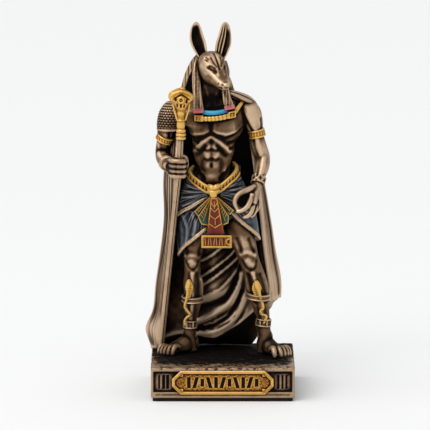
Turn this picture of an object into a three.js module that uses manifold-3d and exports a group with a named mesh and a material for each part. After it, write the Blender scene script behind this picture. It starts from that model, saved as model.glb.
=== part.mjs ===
// A small painted casting: a jackal-headed god with a staff and a long cape, standing on a square plinth.
// Millimetres, +Z up. The figure looks along -Y, and the origin is the middle of the underside.
import * as THREE from "three";
import { mergeVertices } from "three/addons/utils/BufferGeometryUtils.js";
import Module from "manifold-3d";

const wasm = await Module();
wasm.setup();

// Driving dimensions. The whole piece is 90 mm tall, ears included.
const PLINTH = { width: 34.8, depth: 31.7, corner: 0.8 };
const PAD = { inset: 0.45, height: 0.9 };
const GROUND = 8.3;
const PANEL = { low: 2.3, high: 7.35, post: 0.9, recess: 0.35 };
const PLAQUE = { middle: 0, half: 12.3, low: 1.7, high: 7.6, chamfer: 2.1 };
const PLAQUE_FACE = { proud: 0.25, rim: 0.75, sunk: 0.3 };
const MARK = { width: 0.45, depth: 0.3 };
const SHAFT_RADIUS = 0.74;

const UP = [0, 0, 1];
const vec = (p) => new THREE.Vector3(p[0], p[1], p[2]);
const mix = (a, b, t) => a + (b - a) * t;
const clamp01 = (t) => THREE.MathUtils.clamp(t, 0, 1);
const bell = (x, width) => Math.exp(-((x / width) ** 2));

// The row of numbers at t, from 0 to 1, on a smooth curve through all the rows.
function along(rows, t) {
  const s = t * (rows.length - 1);
  const i = Math.min(Math.floor(s), rows.length - 2);
  const f = s - i;
  const [b, c] = [rows[i], rows[i + 1]];
  const a = rows[Math.max(i - 1, 0)];
  const d = rows[Math.min(i + 2, rows.length - 1)];
  return b.map((_, k) => {
    const bend = 2 * a[k] - 5 * b[k] + 4 * c[k] - d[k];
    const twist = 3 * b[k] - a[k] - 3 * c[k] + d[k];
    return 0.5 * (2 * b[k] + (c[k] - a[k]) * f + bend * f * f + twist * f * f * f);
  });
}

// One number at a part of a full turn, on a smooth closed curve through the values.
function around(values, turn) {
  const n = values.length;
  const s = (turn - Math.floor(turn)) * n;
  const i = Math.floor(s);
  const near = [-1, 0, 1, 2].map((k) => [values[(i + k + n) % n]]);
  return along(near, (1 + s - i) / 3)[0];
}

// A closed skin over rings of points. Each end is closed by a strip that joins the two halves of its ring.
function skin(rings) {
  const count = rings[0].length;
  const index = [];
  for (let i = 0; i + 1 < rings.length; i++) {
    for (let j = 0; j < count; j++) {
      const [a, b] = [i * count + j, i * count + ((j + 1) % count)];
      index.push(a, b, b + count, a, b + count, a + count);
    }
  }
  const last = (rings.length - 1) * count;
  for (let j = 0; j < count / 2 - 1; j++) {
    const [a, b, c, d] = [j, j + 1, count - 2 - j, count - 1 - j];
    index.push(a, c, b, a, d, c);
    index.push(last + a, last + b, last + c, last + a, last + c, last + d);
  }
  const geometry = new THREE.BufferGeometry().setFromPoints(rings.flat());
  geometry.setIndex(index);
  return geometry;
}

// A rounded form along a smooth path. Each row is x, y, z, half width, reach to the front and to the back.
// Relief gives, for a point of the front, how far the carving stands out there.
function limb(rows, steps, sides, { front = [0, -1, 0], power = 2, relief = () => 0 } = {}) {
  const rings = [];
  const swell = (c) => Math.sign(c) * Math.abs(c) ** (2 / power);
  for (let i = 0; i <= steps; i++) {
    const t = i / steps;
    const [x, y, z, wide, fore, aft] = along(rows, t);
    const tangent = vec(along(rows, Math.min(t + 0.02, 1)));
    tangent.sub(vec(along(rows, Math.max(t - 0.02, 0)))).normalize();
    const ahead = vec(front).addScaledVector(tangent, -tangent.dot(vec(front))).normalize();
    const side = ahead.clone().cross(tangent);
    const ring = [];
    for (let j = 0; j < sides; j++) {
      const angle = (2 * Math.PI * (j + 0.5)) / sides;
      const [c, s] = [swell(Math.cos(angle)), swell(Math.sin(angle))];
      const point = new THREE.Vector3(x, y, z).addScaledVector(side, wide * c);
      point.addScaledVector(ahead, (s > 0 ? fore : aft) * s);
      if (s > 0) point.addScaledVector(ahead, relief(point.x, point.z));
      ring.push(point);
    }
    rings.push(ring);
  }
  return skin(rings);
}

// A round rod through points, each x, y, z and radius.
function rod(rows, steps, sides, front = [0, -1, 0]) {
  return limb(rows.map(([x, y, z, r]) => [x, y, z, r, r, r]), steps, sides, { front });
}

// A shape moved from the origin to a place, after a turn by angles in degrees about X, Y and Z.
function place(geometry, at, turn = [0, 0, 0]) {
  const [x, y, z] = turn.map(THREE.MathUtils.degToRad);
  const matrix = new THREE.Matrix4().makeRotationFromEuler(new THREE.Euler(x, y, z, "ZYX"));
  return geometry.applyMatrix4(matrix.setPosition(...at));
}

// A flattened ball, turned by angles in degrees about X, Y and Z.
function lump(at, radii, turn = [0, 0, 0], detail = 0) {
  const ball = new THREE.IcosahedronGeometry(detail ? 1.04 : 1.12, detail);
  ball.scale(...radii);
  return place(ball, at, turn);
}

// A short collar of one section, square to a direction, centred on a point.
function cuff(at, direction, wide, fore, aft, height, sides = 8) {
  const half = vec(direction).normalize().multiplyScalar(height / 2);
  const [low, high] = [vec(at).sub(half), vec(at).add(half)];
  return limb([[...low, wide, fore, aft], [...high, wide, fore, aft]], 1, sides);
}

// A flat shape of the given outline in the XZ plane, from one Y to another.
function plate(points, from, to) {
  const outline = new THREE.Shape(points.map(([x, z]) => new THREE.Vector2(x, z)));
  const slab = new THREE.ExtrudeGeometry(outline, { depth: to - from, bevelEnabled: false });
  return slab.rotateX(Math.PI / 2).translate(0, to, 0);
}

// A block with rounded upright corners, between two heights.
function block(width, depth, corner, low, high) {
  const [x, y] = [width / 2, depth / 2];
  const outline = new THREE.Shape();
  outline.absarc(x - corner, y - corner, corner, 0, Math.PI / 2);
  outline.absarc(corner - x, y - corner, corner, Math.PI / 2, Math.PI);
  outline.absarc(corner - x, corner - y, corner, Math.PI, 1.5 * Math.PI);
  outline.absarc(x - corner, corner - y, corner, 1.5 * Math.PI, 2 * Math.PI);
  const options = { depth: high - low, bevelEnabled: false, curveSegments: 3 };
  return new THREE.ExtrudeGeometry(outline, options).translate(0, 0, low);
}

// A box given by its lowest and highest corners.
function box(low, high) {
  const size = high.map((v, k) => v - low[k]);
  const middle = high.map((v, k) => (v + low[k]) / 2);
  return new THREE.BoxGeometry(...size).translate(...middle);
}

// The solid inside a closed geometry.
function solid(geometry) {
  const bare = new THREE.BufferGeometry();
  bare.setAttribute("position", geometry.getAttribute("position"));
  bare.setIndex(geometry.index);
  const merged = mergeVertices(bare, 1e-4);
  return new wasm.Manifold(
    new wasm.Mesh({
      numProp: 3,
      vertProperties: merged.getAttribute("position").array,
      triVerts: new Uint32Array(merged.index.array),
    }),
  );
}

// All the shapes joined into one solid.
const join = (geometries) => wasm.Manifold.union(geometries.map(solid));

// The largest body of a solid, which fills any gap sealed inside it.
function filled(made) {
  return made.decompose().reduce((a, b) => (a.volume() > b.volume() ? a : b));
}

// A solid as a mesh of its own colour.
function mesh(name, made, colour, roughness, metalness) {
  const found = made.getMesh();
  const geometry = new THREE.BufferGeometry();
  geometry.setAttribute("position", new THREE.BufferAttribute(found.vertProperties, 3));
  geometry.setIndex(new THREE.BufferAttribute(found.triVerts, 1));
  geometry.computeVertexNormals();
  const material = new THREE.MeshStandardMaterial({ color: colour, roughness, metalness });
  const result = new THREE.Mesh(geometry, material);
  result.name = name;
  return result;
}

// The body

// How far the muscles of the chest and belly stand out at a point of the front.
function muscles(x, z) {
  const chest = [-5.4, 0.5].map((at) => 1.3 * bell(x - at, 2.9) * bell(z - 65.3, z < 65.3 ? 1.7 : 3.6));
  const ribs = [-5.3, 0.4].map((at) => 0.5 * bell(x - at, 1.6) * bell(z - 60.9, 1.3));
  const flanks = [-5.3, 1.2].map((at) => 0.45 * bell(x - at, 1.2) * bell(z - 56.6, 2.4));
  const rows = [60.2, 57.9, 55.6];
  const belly = rows.map((at) => 0.55 * (bell(x + 3.75, 0.95) + bell(x + 1.6, 0.95)) * bell(z - at, 0.85));
  const low = 0.6 * bell(x + 2.6, 2.2) * bell(z - 52.9, 1.5);
  const middle = -0.35 * bell(x + 2.7, 0.6) * bell(z - 60, 6);
  return [...chest, ...ribs, ...flanks, ...belly].reduce((a, b) => a + b) + low + middle;
}

function torso() {
  const trunk = [
    [-1.9, 2.0, 46.0, 6.6, 4.0, 4.2],
    [-2.0, 1.8, 50.5, 5.9, 3.6, 3.9],
    [-1.9, 1.4, 54.3, 3.9, 3.1, 3.3],
    [-2.2, 1.2, 58.0, 4.9, 3.2, 3.4],
    [-2.2, 1.2, 61.5, 5.3, 3.5, 3.7],
    [-1.9, 1.4, 65.2, 7.2, 3.7, 4.0],
    [-2.4, 1.8, 69.2, 7.6, 3.2, 3.8],
    [-2.8, 2.0, 71.6, 4.6, 2.4, 3.2],
    [-2.7, 1.7, 73.8, 2.4, 2.3, 2.6],
    [-2.6, 1.2, 78.5, 2.4, 2.3, 2.6],
  ];
  return [limb(trunk, 15, 14, { power: 2.2, relief: muscles })];
}

// The arm bent forward to the staff, its closed fist, and the shoulder guard.
function staffArm() {
  const arm = [
    [-12.2, 2.2, 68.6, 2.4, 2.4, 2.4],
    [-13.6, 2.2, 65.0, 2.2, 2.4, 2.3],
    [-14.1, 2.4, 61.6, 1.85, 2.2, 2.0],
    [-14.6, 2.5, 58.4, 1.8, 1.7, 1.9],
    [-14.4, 0.8, 56.8, 1.75, 1.9, 1.7],
    [-13.5, -1.6, 56.0, 1.45, 1.6, 1.5],
    [-12.4, -3.8, 55.7, 1.4, 1.9, 1.9],
  ];
  const guard = [
    [-13.2, 2.1, 63.7, 2.65, 2.9, 2.8],
    [-13.2, 2.1, 65.4, 2.75, 3.1, 3.0],
    [-12.6, 2.1, 67.6, 2.8, 3.0, 3.0],
    [-11.8, 2.2, 69.6, 2.1, 2.1, 2.2],
    [-11.2, 2.3, 70.7, 0.6, 0.6, 0.6],
  ];
  const thumb = [
    [-12.0, -4.0, 57.0, 0.8],
    [-10.0, -3.7, 58.1, 0.6],
    [-8.8, -4.6, 57.7, 0.5],
    [-8.7, -5.6, 56.9, 0.4],
  ];
  const shapes = [limb(arm, 9, 8), limb(guard, 5, 8), rod(thumb, 3, 4)];
  shapes.push(lump([-12.0, -4.6, 55.6], [1.4, 1.9, 2.6], [0, 0, 20]));
  shapes.push(cuff([-14.1, 2.3, 61.6], [0.35, -0.25, 1], 2.05, 2.35, 2.2, 1.5));
  shapes.push(cuff([-13.5, -1.5, 56.0], [0.55, -1.6, -0.15], 1.75, 1.85, 1.75, 1.6));
  for (let k = 0; k < 4; k++) {
    const z = 57.4 - 1.2 * k;
    const size = 0.68 - 0.03 * k;
    const finger = [
      [-12.5, -5.4, z, size],
      [-11.6, -6.9, z - 0.05, size],
      [-9.9, -7.0, z - 0.1, size],
      [-9.2, -5.9, z - 0.1, size * 0.8],
    ];
    shapes.push(rod(finger, 3, 4, UP));
  }
  return shapes;
}

// The hanging arm, its armband and cuff, and the open hand with curled fingers.
function openArm() {
  const arm = [
    [4.6, 2.0, 69.6, 1.8, 1.9, 2.1],
    [6.4, 2.0, 68.2, 2.7, 2.7, 2.8],
    [7.4, 2.1, 65.8, 2.4, 2.8, 2.6],
    [8.1, 2.2, 62.9, 1.75, 2.2, 2.0],
    [8.7, 2.5, 60.2, 1.85, 2.1, 1.9],
    [9.8, 2.5, 57.0, 1.7, 1.8, 1.8],
    [9.5, 1.3, 54.4, 1.7, 1.8, 1.6],
    [8.5, -0.5, 51.6, 1.2, 1.3, 1.2],
    [8.2, -1.4, 50.2, 1.1, 1.2, 1.1],
  ];
  const palm = [
    [8.6, -0.9, 51.2, 1.0, 1.0, 0.9],
    [7.9, -2.4, 49.3, 1.5, 1.1, 1.0],
    [7.3, -3.4, 47.0, 1.8, 0.9, 1.1],
    [7.2, -3.8, 45.8, 1.5, 0.7, 0.9],
  ];
  const digits = [
    [[7.0, -3.2, 50.2, 0.8], [5.2, -4.6, 49.8, 0.62], [3.2, -5.4, 48.5, 0.52], [3.2, -5.7, 45.9, 0.4]],
    [[6.9, -4.6, 48.0, 0.62], [6.3, -5.6, 46.2, 0.58], [5.4, -6.0, 45.2, 0.54], [3.8, -6.0, 44.9, 0.45]],
    [[7.3, -3.8, 47.0, 0.62], [7.0, -4.7, 45.0, 0.58], [6.2, -5.1, 43.9, 0.52], [5.2, -5.2, 43.4, 0.42]],
    [[7.7, -2.9, 46.4, 0.6], [7.6, -3.6, 44.6, 0.55], [7.0, -4.0, 43.5, 0.42]],
    [[7.9, -2.0, 46.6, 0.55], [7.9, -2.5, 45.0, 0.5], [7.4, -2.9, 44.0, 0.4]],
  ];
  const shapes = [limb(arm, 10, 8), limb(palm, 3, 6, { front: [-1, 0, 0] })];
  shapes.push(cuff([8.3, 2.2, 62.9], [-0.22, 0, 1], 1.95, 2.4, 2.2, 2.0));
  shapes.push(cuff([8.7, -0.4, 51.8], [0.3, 0.7, 1.1], 1.65, 1.7, 1.6, 1.7));
  digits.forEach((digit) => shapes.push(rod(digit, digit.length, 4)));
  return shapes;
}

// One leg from hip to toes, with knee, calf, shin bands and the snake that winds down the shin.
function leg({ size, rows, knee, band, anklet, foot, toes, snake }) {
  const cap = (x, z) => 0.7 * bell(x - knee[0], 1.3 * size) * bell(z - knee[1], 1.3);
  const shapes = [limb(rows, 10, 8, { relief: cap }), limb(foot, 5, 6, { front: UP, power: 2.4 })];
  shapes.push(cuff(band, [0, -0.1, 1], 2.6 * size, 2.75 * size, 2.7 * size, 1.6));
  shapes.push(cuff(anklet, [0.03, 0, 1], 1.42 * size, 1.6 * size, 1.7 * size, 1.8));
  toes.forEach(([x, y, wide]) => {
    const [heelX, heelY] = foot[0];
    const heading = THREE.MathUtils.radToDeg(Math.atan2(x - heelX, heelY - y));
    shapes.push(lump([x, y, GROUND + 0.95], [0.5 * wide, 1.5, 1.2], [32, 0, heading]));
  });
  const [x, y, z] = snake[0];
  shapes.push(rod(snake, 7, 4));
  shapes.push(lump([x, y + 0.1, z - 0.9], [0.95 * size, 0.6, 1.8], [6, 0, 0]));
  return shapes;
}

const STAFF_LEG = {
  size: 0.95,
  rows: [
    [-4.6, 2.2, 47.0, 3.6, 3.6, 3.8],
    [-5.9, 1.4, 41.0, 3.4, 3.5, 3.6],
    [-7.0, 0.9, 36.0, 2.7, 2.9, 3.0],
    [-7.4, 0.9, 32.0, 2.1, 2.3, 2.3],
    [-7.4, 1.6, 29.0, 2.0, 2.0, 2.3],
    [-7.3, 2.4, 25.4, 2.3, 2.0, 2.8],
    [-7.2, 3.3, 21.0, 1.95, 1.8, 2.2],
    [-7.7, 4.2, 16.6, 1.35, 1.4, 1.6],
    [-8.1, 4.8, 13.4, 1.35, 1.5, 1.6],
    [-8.1, 5.2, 10.8, 1.6, 1.9, 2.0],
    [-7.9, 5.3, 8.0, 1.6, 1.9, 2.0],
  ],
  knee: [-7.4, 31.4],
  band: [-7.4, 2.9, 22.0],
  anklet: [-8.0, 4.3, 15.3],
  foot: [
    [-7.0, 7.2, 9.2, 1.3, 1.4, 1.2],
    [-7.8, 5.6, 10.2, 1.7, 2.8, 1.9],
    [-9.4, 4.2, 10.1, 1.9, 2.6, 1.9],
    [-11.4, 2.8, 9.8, 2.1, 2.1, 1.7],
    [-13.2, 1.6, 9.4, 2.3, 1.6, 1.4],
  ],
  toes: [[-11.9, 0.7, 1.4], [-12.9, 0.7, 1.1], [-13.9, 0.9, 1.05], [-14.7, 1.4, 1.0], [-15.3, 2.1, 0.95]],
  snake: [
    [-8.2, -0.1, 26.6, 0.4],
    [-8.4, 0.3, 24.2, 0.55],
    [-8.3, 1.1, 21.6, 0.42],
    [-8.9, 1.9, 19.4, 0.4],
    [-8.0, 2.3, 17.8, 0.42],
    [-9.0, 2.6, 16.2, 0.4],
    [-8.5, 3.0, 14.4, 0.3],
  ],
};

const FREE_LEG = {
  size: 1.12,
  rows: [
    [1.0, 2.2, 47.0, 3.6, 3.6, 3.8],
    [3.4, 1.4, 41.0, 3.5, 3.6, 3.6],
    [5.2, 0.9, 36.0, 2.9, 3.1, 3.0],
    [6.4, 0.8, 32.0, 2.45, 2.5, 2.4],
    [7.4, 1.2, 29.0, 2.5, 2.2, 2.5],
    [8.3, 1.7, 25.4, 2.75, 2.2, 3.0],
    [9.2, 2.1, 21.0, 2.2, 1.9, 2.4],
    [10.0, 2.6, 16.8, 1.55, 1.5, 1.7],
    [10.3, 2.9, 13.6, 1.5, 1.6, 1.7],
    [10.4, 3.0, 10.8, 1.8, 2.0, 2.1],
    [10.4, 3.0, 8.0, 1.8, 2.0, 2.1],
  ],
  knee: [6.6, 31.4],
  band: [8.6, 1.9, 22.6],
  anklet: [10.0, 2.6, 16.1],
  foot: [
    [9.6, 5.4, 9.2, 1.4, 1.4, 1.2],
    [10.2, 3.8, 10.2, 1.8, 2.8, 2.0],
    [11.2, 2.4, 10.1, 2.0, 2.6, 1.9],
    [12.5, 1.0, 9.8, 2.3, 2.1, 1.7],
    [13.8, -0.4, 9.4, 2.4, 1.6, 1.4],
  ],
  toes: [[12.5, -2.3, 1.5], [13.7, -1.9, 1.15], [14.6, -1.5, 1.1], [15.4, -0.9, 1.05], [16.0, -0.1, 0.95]],
  snake: [
    [8.5, -0.8, 26.8, 0.45],
    [8.8, -0.7, 24.4, 0.65],
    [9.2, -0.2, 22.0, 0.48],
    [9.7, 0.3, 19.8, 0.42],
    [9.0, 0.8, 18.2, 0.45],
    [10.6, 0.9, 17.0, 0.42],
    [10.4, 1.0, 15.4, 0.34],
  ],
};

// The head

const HEAD = { at: [-2.6, -0.4, 79.8], turn: [21, 0, 27] };

// The jackal's skull, cheeks, brows, muzzle and jaw, turned to the figure's left and a little down.
function head() {
  const skull = [
    [0, 3.2, 0.3, 1.6, 1.4, 1.8],
    [0, 2.2, 0.3, 2.8, 2.6, 3.0],
    [0, 0.4, 0.2, 3.15, 3.0, 3.9],
    [0, -1.3, 0.0, 3.05, 2.6, 3.9],
    [0, -2.9, -0.2, 2.5, 1.8, 3.4],
    [0, -4.4, -0.5, 1.85, 1.05, 2.6],
    [0, -6.0, -0.8, 1.5, 0.75, 1.9],
    [0, -7.5, -1.0, 1.25, 0.65, 1.4],
    [0, -8.5, -1.1, 0.8, 0.4, 0.9],
  ];
  const shapes = [limb(skull, 9, 10, { front: UP, power: 2.3 })];
  shapes.push(lump([0, -8.4, -0.6], [0.8, 0.5, 0.5]));
  for (const side of [-1, 1]) {
    shapes.push(lump([side * 1.5, -2.5, 1.6], [0.95, 1.2, 0.6], [24, 0, side * -24]));
    shapes.push(lump([side * 1.75, -3.2, 0.7], [0.55, 0.65, 0.5]));
  }
  return shapes.map((shape) => place(shape, HEAD.at, HEAD.turn));
}

// One tall ear from rows of x, y, z, half width, back and hollow. The hollow looks along facing.
function ear(rows, facing) {
  const [steps, half] = [8, 5];
  const up = vec(rows.at(-1)).sub(vec(rows[0])).normalize();
  const open = vec(facing).addScaledVector(up, -up.dot(vec(facing))).normalize();
  const across = open.clone().cross(up);
  const rings = [];
  for (let i = 0; i <= steps; i++) {
    const [x, y, z, wide, back, hollow] = along(rows, i / steps);
    const ring = [];
    for (let j = 0; j < 2 * half; j++) {
      const inside = j < half;
      const u = inside ? 1 - (2 * j) / (half - 1) : (2 * (j - half)) / (half - 1) - 1;
      const depth = inside ? 0.2 - hollow * (1 - u * u) : -0.15 - back * (1 - u * u);
      ring.push(new THREE.Vector3(x, y, z).addScaledVector(across, wide * u).addScaledVector(open, depth));
    }
    rings.push(ring);
  }
  return skin(rings);
}

const STAFF_EAR = [
  [-4.4, 0.8, 81.2, 1.0, 0.8, 0.1],
  [-5.2, 1.2, 82.9, 1.45, 1.3, 0.7],
  [-5.9, 1.7, 84.8, 1.8, 1.4, 0.95],
  [-6.4, 2.1, 86.6, 1.7, 1.2, 0.85],
  [-6.6, 2.4, 88.4, 1.1, 0.8, 0.5],
  [-6.6, 2.6, 90.0, 0.25, 0.2, 0.1],
];
const FREE_EAR = [
  [-0.9, 1.0, 81.2, 1.3, 0.9, 0.1],
  [-0.4, 1.4, 82.9, 1.7, 1.4, 0.8],
  [0.1, 1.8, 84.8, 1.95, 1.5, 1.0],
  [0.45, 2.1, 86.6, 1.7, 1.3, 0.9],
  [0.6, 2.4, 88.4, 1.15, 0.8, 0.5],
  [0.65, 2.6, 90.0, 0.25, 0.2, 0.1],
];

// The striped headcloth behind the face and its two lappets on the chest.
function headcloth() {
  const hood = [
    [-3.4, 4.4, 68.4, 6.6, 0.8, 3.2],
    [-3.7, 4.0, 71.6, 6.8, 1.2, 3.4],
    [-3.8, 3.6, 74.2, 6.2, 1.6, 3.5],
    [-3.8, 3.0, 76.8, 5.4, 2.0, 3.6],
    [-3.5, 2.4, 79.3, 4.4, 2.4, 3.5],
    [-2.8, 1.7, 81.7, 3.3, 2.4, 3.0],
    [-2.7, 1.3, 83.3, 1.2, 1.2, 1.4],
  ];
  const outer = [
    [-6.2, 0.6, 81.0, 0.8, 0.6, 0.8],
    [-6.6, -0.1, 78.4, 0.85, 0.6, 0.9],
    [-6.5, -1.0, 75.2, 0.85, 0.6, 0.9],
    [-6.2, -2.0, 72.2, 1.05, 0.6, 0.9],
    [-5.9, -2.7, 69.0, 1.25, 0.6, 0.9],
  ];
  const inner = [
    [0.2, 1.0, 80.6, 0.9, 0.6, 0.8],
    [0.8, 0.6, 78.0, 0.9, 0.6, 0.9],
    [0.6, -0.9, 74.6, 0.9, 0.6, 0.9],
    [1.0, -2.0, 72.0, 1.1, 0.6, 0.9],
    [1.6, -2.7, 69.6, 1.25, 0.6, 0.9],
  ];
  const strip = { power: 3 };
  return [limb(hood, 7, 12), limb(outer, 4, 6, strip), limb(inner, 4, 6, strip)];
}

// What the figure wears

// The broad collar across the chest: a painted band, the gold band under it and a gold plate at each end.
function collar() {
  const upper = [[-4.8, -2.0, 68.6, 0.65], [-2.0, -2.9, 68.6, 0.65], [1.0, -2.2, 69.1, 0.65]];
  const lower = [[-6.4, -1.8, 67.3, 0.6], [-1.9, -3.4, 67.3, 0.6], [2.8, -1.9, 68.2, 0.6]];
  const strap = [[2.6, -1.9, 68.4, 0.5], [3.8, -0.9, 69.9, 0.45], [4.8, 1.0, 71.0, 0.45]];
  const shapes = [upper, lower].map((rows) => rod(rows, 6, 6, UP));
  shapes.push(rod(strap, 3, 6));
  shapes.push(place(new THREE.BoxGeometry(2.3, 1.3, 1.4), [-5.7, -2.2, 67.2], [0, 0, -18]));
  shapes.push(place(new THREE.BoxGeometry(2.1, 1.3, 1.6), [2.2, -2.3, 68.0], [0, -12, 20]));
  return shapes;
}

// Heights round the kilt from the staff side by way of the front: its top edge and the wrap's two hems.
const KILT = {
  top: [53.6, 51.4, 49.4, 52.2, 54.6, 55.2, 55.0, 54.6],
  under: [33.2, 36.6, 41.6, 43.5, 40.0, 38.0, 36.0, 34.2],
  over: [41.6, 44.9, 47.6, 40.8, 37.0, 35.8, 37.4, 39.8],
};

// One layer of the wrapped kilt down to its hem, standing proud of the layer below.
function kilt(hem, proud, steps, sides) {
  const shape = [
    [-2.2, 1.9, 6.1, 4.1, 4.2],
    [-2.1, 1.8, 8.2, 4.8, 5.0],
    [-1.8, 1.6, 9.5, 5.0, 5.6],
    [-1.4, 1.5, 9.8, 5.0, 6.0],
    [-1.2, 1.5, 9.5, 4.9, 6.2],
  ];
  const rings = [];
  for (let i = 0; i <= steps; i++) {
    const ring = [];
    for (let j = 0; j < sides; j++) {
      const turn = (j + 0.5) / sides;
      const angle = 2 * Math.PI * turn;
      const z = mix(around(KILT.top, turn), around(hem, turn), i / steps);
      const down = clamp01((53 - z) / 20);
      const [x, y, wide, fore, aft] = along(shape, down);
      const cleft = 1.3 * down * bell(turn - 0.27, 0.06);
      const [c, s] = [-Math.cos(angle), -Math.sin(angle)];
      const reach = (s < 0 ? fore - cleft : aft) + proud;
      ring.push(new THREE.Vector3(x + c * (wide + proud), y + s * reach, z));
    }
    rings.push(ring.reverse());
  }
  return skin(rings);
}

// The belt as a band round the hips, dipping to the knot in front.
function belt(steps, sides) {
  const rings = [];
  for (let i = 0; i <= steps; i++) {
    const ring = [];
    for (let j = 0; j < sides; j++) {
      const turn = (j + 0.5) / sides;
      const angle = 2 * Math.PI * turn;
      const z = around(KILT.top, turn) + 1.2 - (1.9 * i) / steps;
      const [c, s] = [-Math.cos(angle), -Math.sin(angle)];
      const wide = 6.0 + (0.8 * i) / steps;
      ring.push(new THREE.Vector3(-2.1 + c * wide, 1.8 + s * (s < 0 ? 4.7 : 4.6), z));
    }
    rings.push(ring.reverse());
  }
  return skin(rings);
}

// The knot, the fanned side tails, the long middle tail and its fringed end panel.
function sash() {
  const front = -4.4;
  const [x, z] = [-2.35, 48.6];
  const shapes = [lump([x, front + 0.6, z + 1.1], [1.75, 1.4, 1.8])];
  shapes.push(plate([[-2.9, z], [-4.0, 38.6], [0.4, 38.6], [-1.2, z]], front - 1.1, front + 3));
  shapes.push(plate([[-5.0, 38.8], [-5.0, 36.1], [2.0, 36.1], [2.0, 38.8]], front - 1.5, front + 2.6));
  const pleats = [
    { from: 48, to: 29, reach: 6.1, proud: 0.5 },
    { from: 32, to: 12, reach: 7.6, proud: 0.8 },
  ];
  for (const side of [-1, 1]) {
    for (const { from, to, reach, proud } of pleats) {
      const [a, b] = [from, to].map((angle) => THREE.MathUtils.degToRad(angle));
      const corner = (angle) => [x + side * reach * Math.sin(angle), z - reach * Math.cos(angle)];
      shapes.push(plate([[x, z], corner(a), corner(b)], front - proud, front + 3));
    }
  }
  return shapes;
}

// The cape

// The outer face in plan at seven heights: x across and y towards the back at nine places, from the edge
// by the staff round the back. At each place too, the hem outside and inside, and the depth of cloth.
const CAPE = {
  heights: [72.3, 70.0, 53.0, 42.0, 33.0, 24.0, 8.3],
  across: [
    [-9.2, -9.4, -8.8, -6.4, -2.6, 1.8, 4.6, 5.2, 5.0],
    [-10.6, -11.6, -11.4, -7.8, -2.6, 2.6, 5.8, 6.4, 6.0],
    [-11.4, -13.2, -14.1, -10.8, -2.2, 5.4, 8.9, 9.4, 8.4],
    [-12.1, -13.3, -13.9, -10.6, -2.0, 6.6, 11.2, 12.0, 9.8],
    [-12.9, -14.0, -14.9, -11.0, -2.0, 7.0, 12.4, 13.5, 10.8],
    [-13.8, -15.2, -16.2, -11.8, -2.0, 7.2, 13.0, 14.2, 12.0],
    [-15.3, -16.5, -17.0, -13.0, -2.0, 7.0, 12.0, 13.2, 12.0],
  ],
  back: [
    [2.4, 3.0, 4.4, 6.0, 6.6, 6.0, 4.4, 3.4, 2.6],
    [3.2, 4.2, 5.6, 7.6, 8.2, 7.6, 5.8, 4.6, 3.4],
    [-1.8, 0.4, 4.0, 9.6, 11.4, 10.2, 7.6, 5.4, 3.8],
    [-0.7, 1.2, 4.6, 10.4, 12.4, 11.4, 9.0, 6.4, 4.2],
    [1.4, 2.8, 5.6, 11.2, 13.2, 12.2, 9.6, 7.0, 4.8],
    [3.6, 4.6, 7.2, 12.4, 14.0, 13.0, 10.2, 7.6, 5.6],
    [7.0, 7.6, 9.4, 13.2, 14.6, 13.6, 11.2, 8.8, 7.2],
  ],
  hem: [[8.0], [8.0], [8.0], [8.0], [8.0], [8.0], [20.0], [21.2], [20.4]],
  swag: [[8.0], [8.0], [9.6], [11.4], [10.7], [14.2], [20.0], [21.2], [20.4]],
  depth: [[0.8], [1.2], [1.7], [4.2], [5.6], [4.2], [1.9], [1.2], [0.8]],
};

// The plan point x, y at s, from 0 to 1 between the front edges, at a height.
function capePlan(s, z) {
  const { heights, across, back } = CAPE;
  let k = 0;
  while (k < heights.length - 2 && z < heights[k + 1]) k++;
  const t = (k + (heights[k] - z) / (heights[k] - heights[k + 1])) / (heights.length - 1);
  const curves = across.map((row, i) => along(row.map((x, j) => [x, back[i][j]]), s));
  return along(curves, clamp01(t));
}

// The cape as one mass from the shoulders to the ground, with upright folds on its outer face.
function cape(steps, half) {
  const rings = [];
  const middle = new THREE.Vector2(-2.0, 2.5);
  for (let i = 0; i <= steps; i++) {
    const ring = [];
    for (let j = 0; j < 2 * half; j++) {
      const outside = j < half;
      const s = outside ? j / (half - 1) : (2 * half - 1 - j) / (half - 1);
      const [hem] = along(outside ? CAPE.hem : CAPE.swag, s);
      const z = mix(CAPE.heights[0], hem, (i / steps) ** 1.15);
      const at = new THREE.Vector2(...capePlan(s, z));
      const out = at.clone().sub(middle).normalize();
      const fall = clamp01((68 - z) / 30);
      const flare = 1.9 * bell(z - 13.4, 3.6) * bell(s - 0.2, 0.12);
      const fold = 0.6 * fall * Math.sin(2 * Math.PI * (5 * s + 0.2 * fall));
      at.addScaledVector(out, outside ? fold + flare : flare - along(CAPE.depth, s)[0]);
      ring.push(new THREE.Vector3(at.x, at.y, z));
    }
    rings.push(ring);
  }
  return skin(rings);
}

// The slanting folds of the cloth between the legs.
function innerFolds() {
  const folds = [];
  for (let k = 0; k < 4; k++) {
    const [left, right] = [24.6 - 3.7 * k, 29.8 - 3.4 * k];
    const path = [
      [-5.0, 8.6, left, 0.4],
      [-2.2, 8.3, mix(left, right, 0.28), 0.9],
      [0.9 + 0.5 * k, 8.5, mix(left, right, 0.62), 0.9],
      [3.6 + k, 8.9, right, 0.4],
    ];
    folds.push(rod(path, 4, 4));
  }
  return folds;
}

// The gathered cloth that crosses the shoulder on the open hand's side.
function shoulderFold() {
  const rows = [
    [1.2, 1.2, 72.8, 0.7, 1.0, 1.4],
    [3.4, 1.3, 71.9, 0.9, 1.5, 1.9],
    [5.6, 2.0, 70.9, 1.0, 1.8, 2.2],
    [7.2, 3.6, 69.6, 0.9, 1.4, 1.8],
  ];
  return limb(rows, 5, 8);
}

// The staff

const STAFF = [
  [-9.95, -6.0, 70.0],
  [-10.2, -5.9, 62.6],
  [-10.5, -5.1, 55.7],
  [-11.4, -3.1, 47.0],
  [-12.4, -0.6, 37.0],
  [-13.6, 2.4, 25.0],
  [-15.2, 6.4, 8.0],
];

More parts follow.
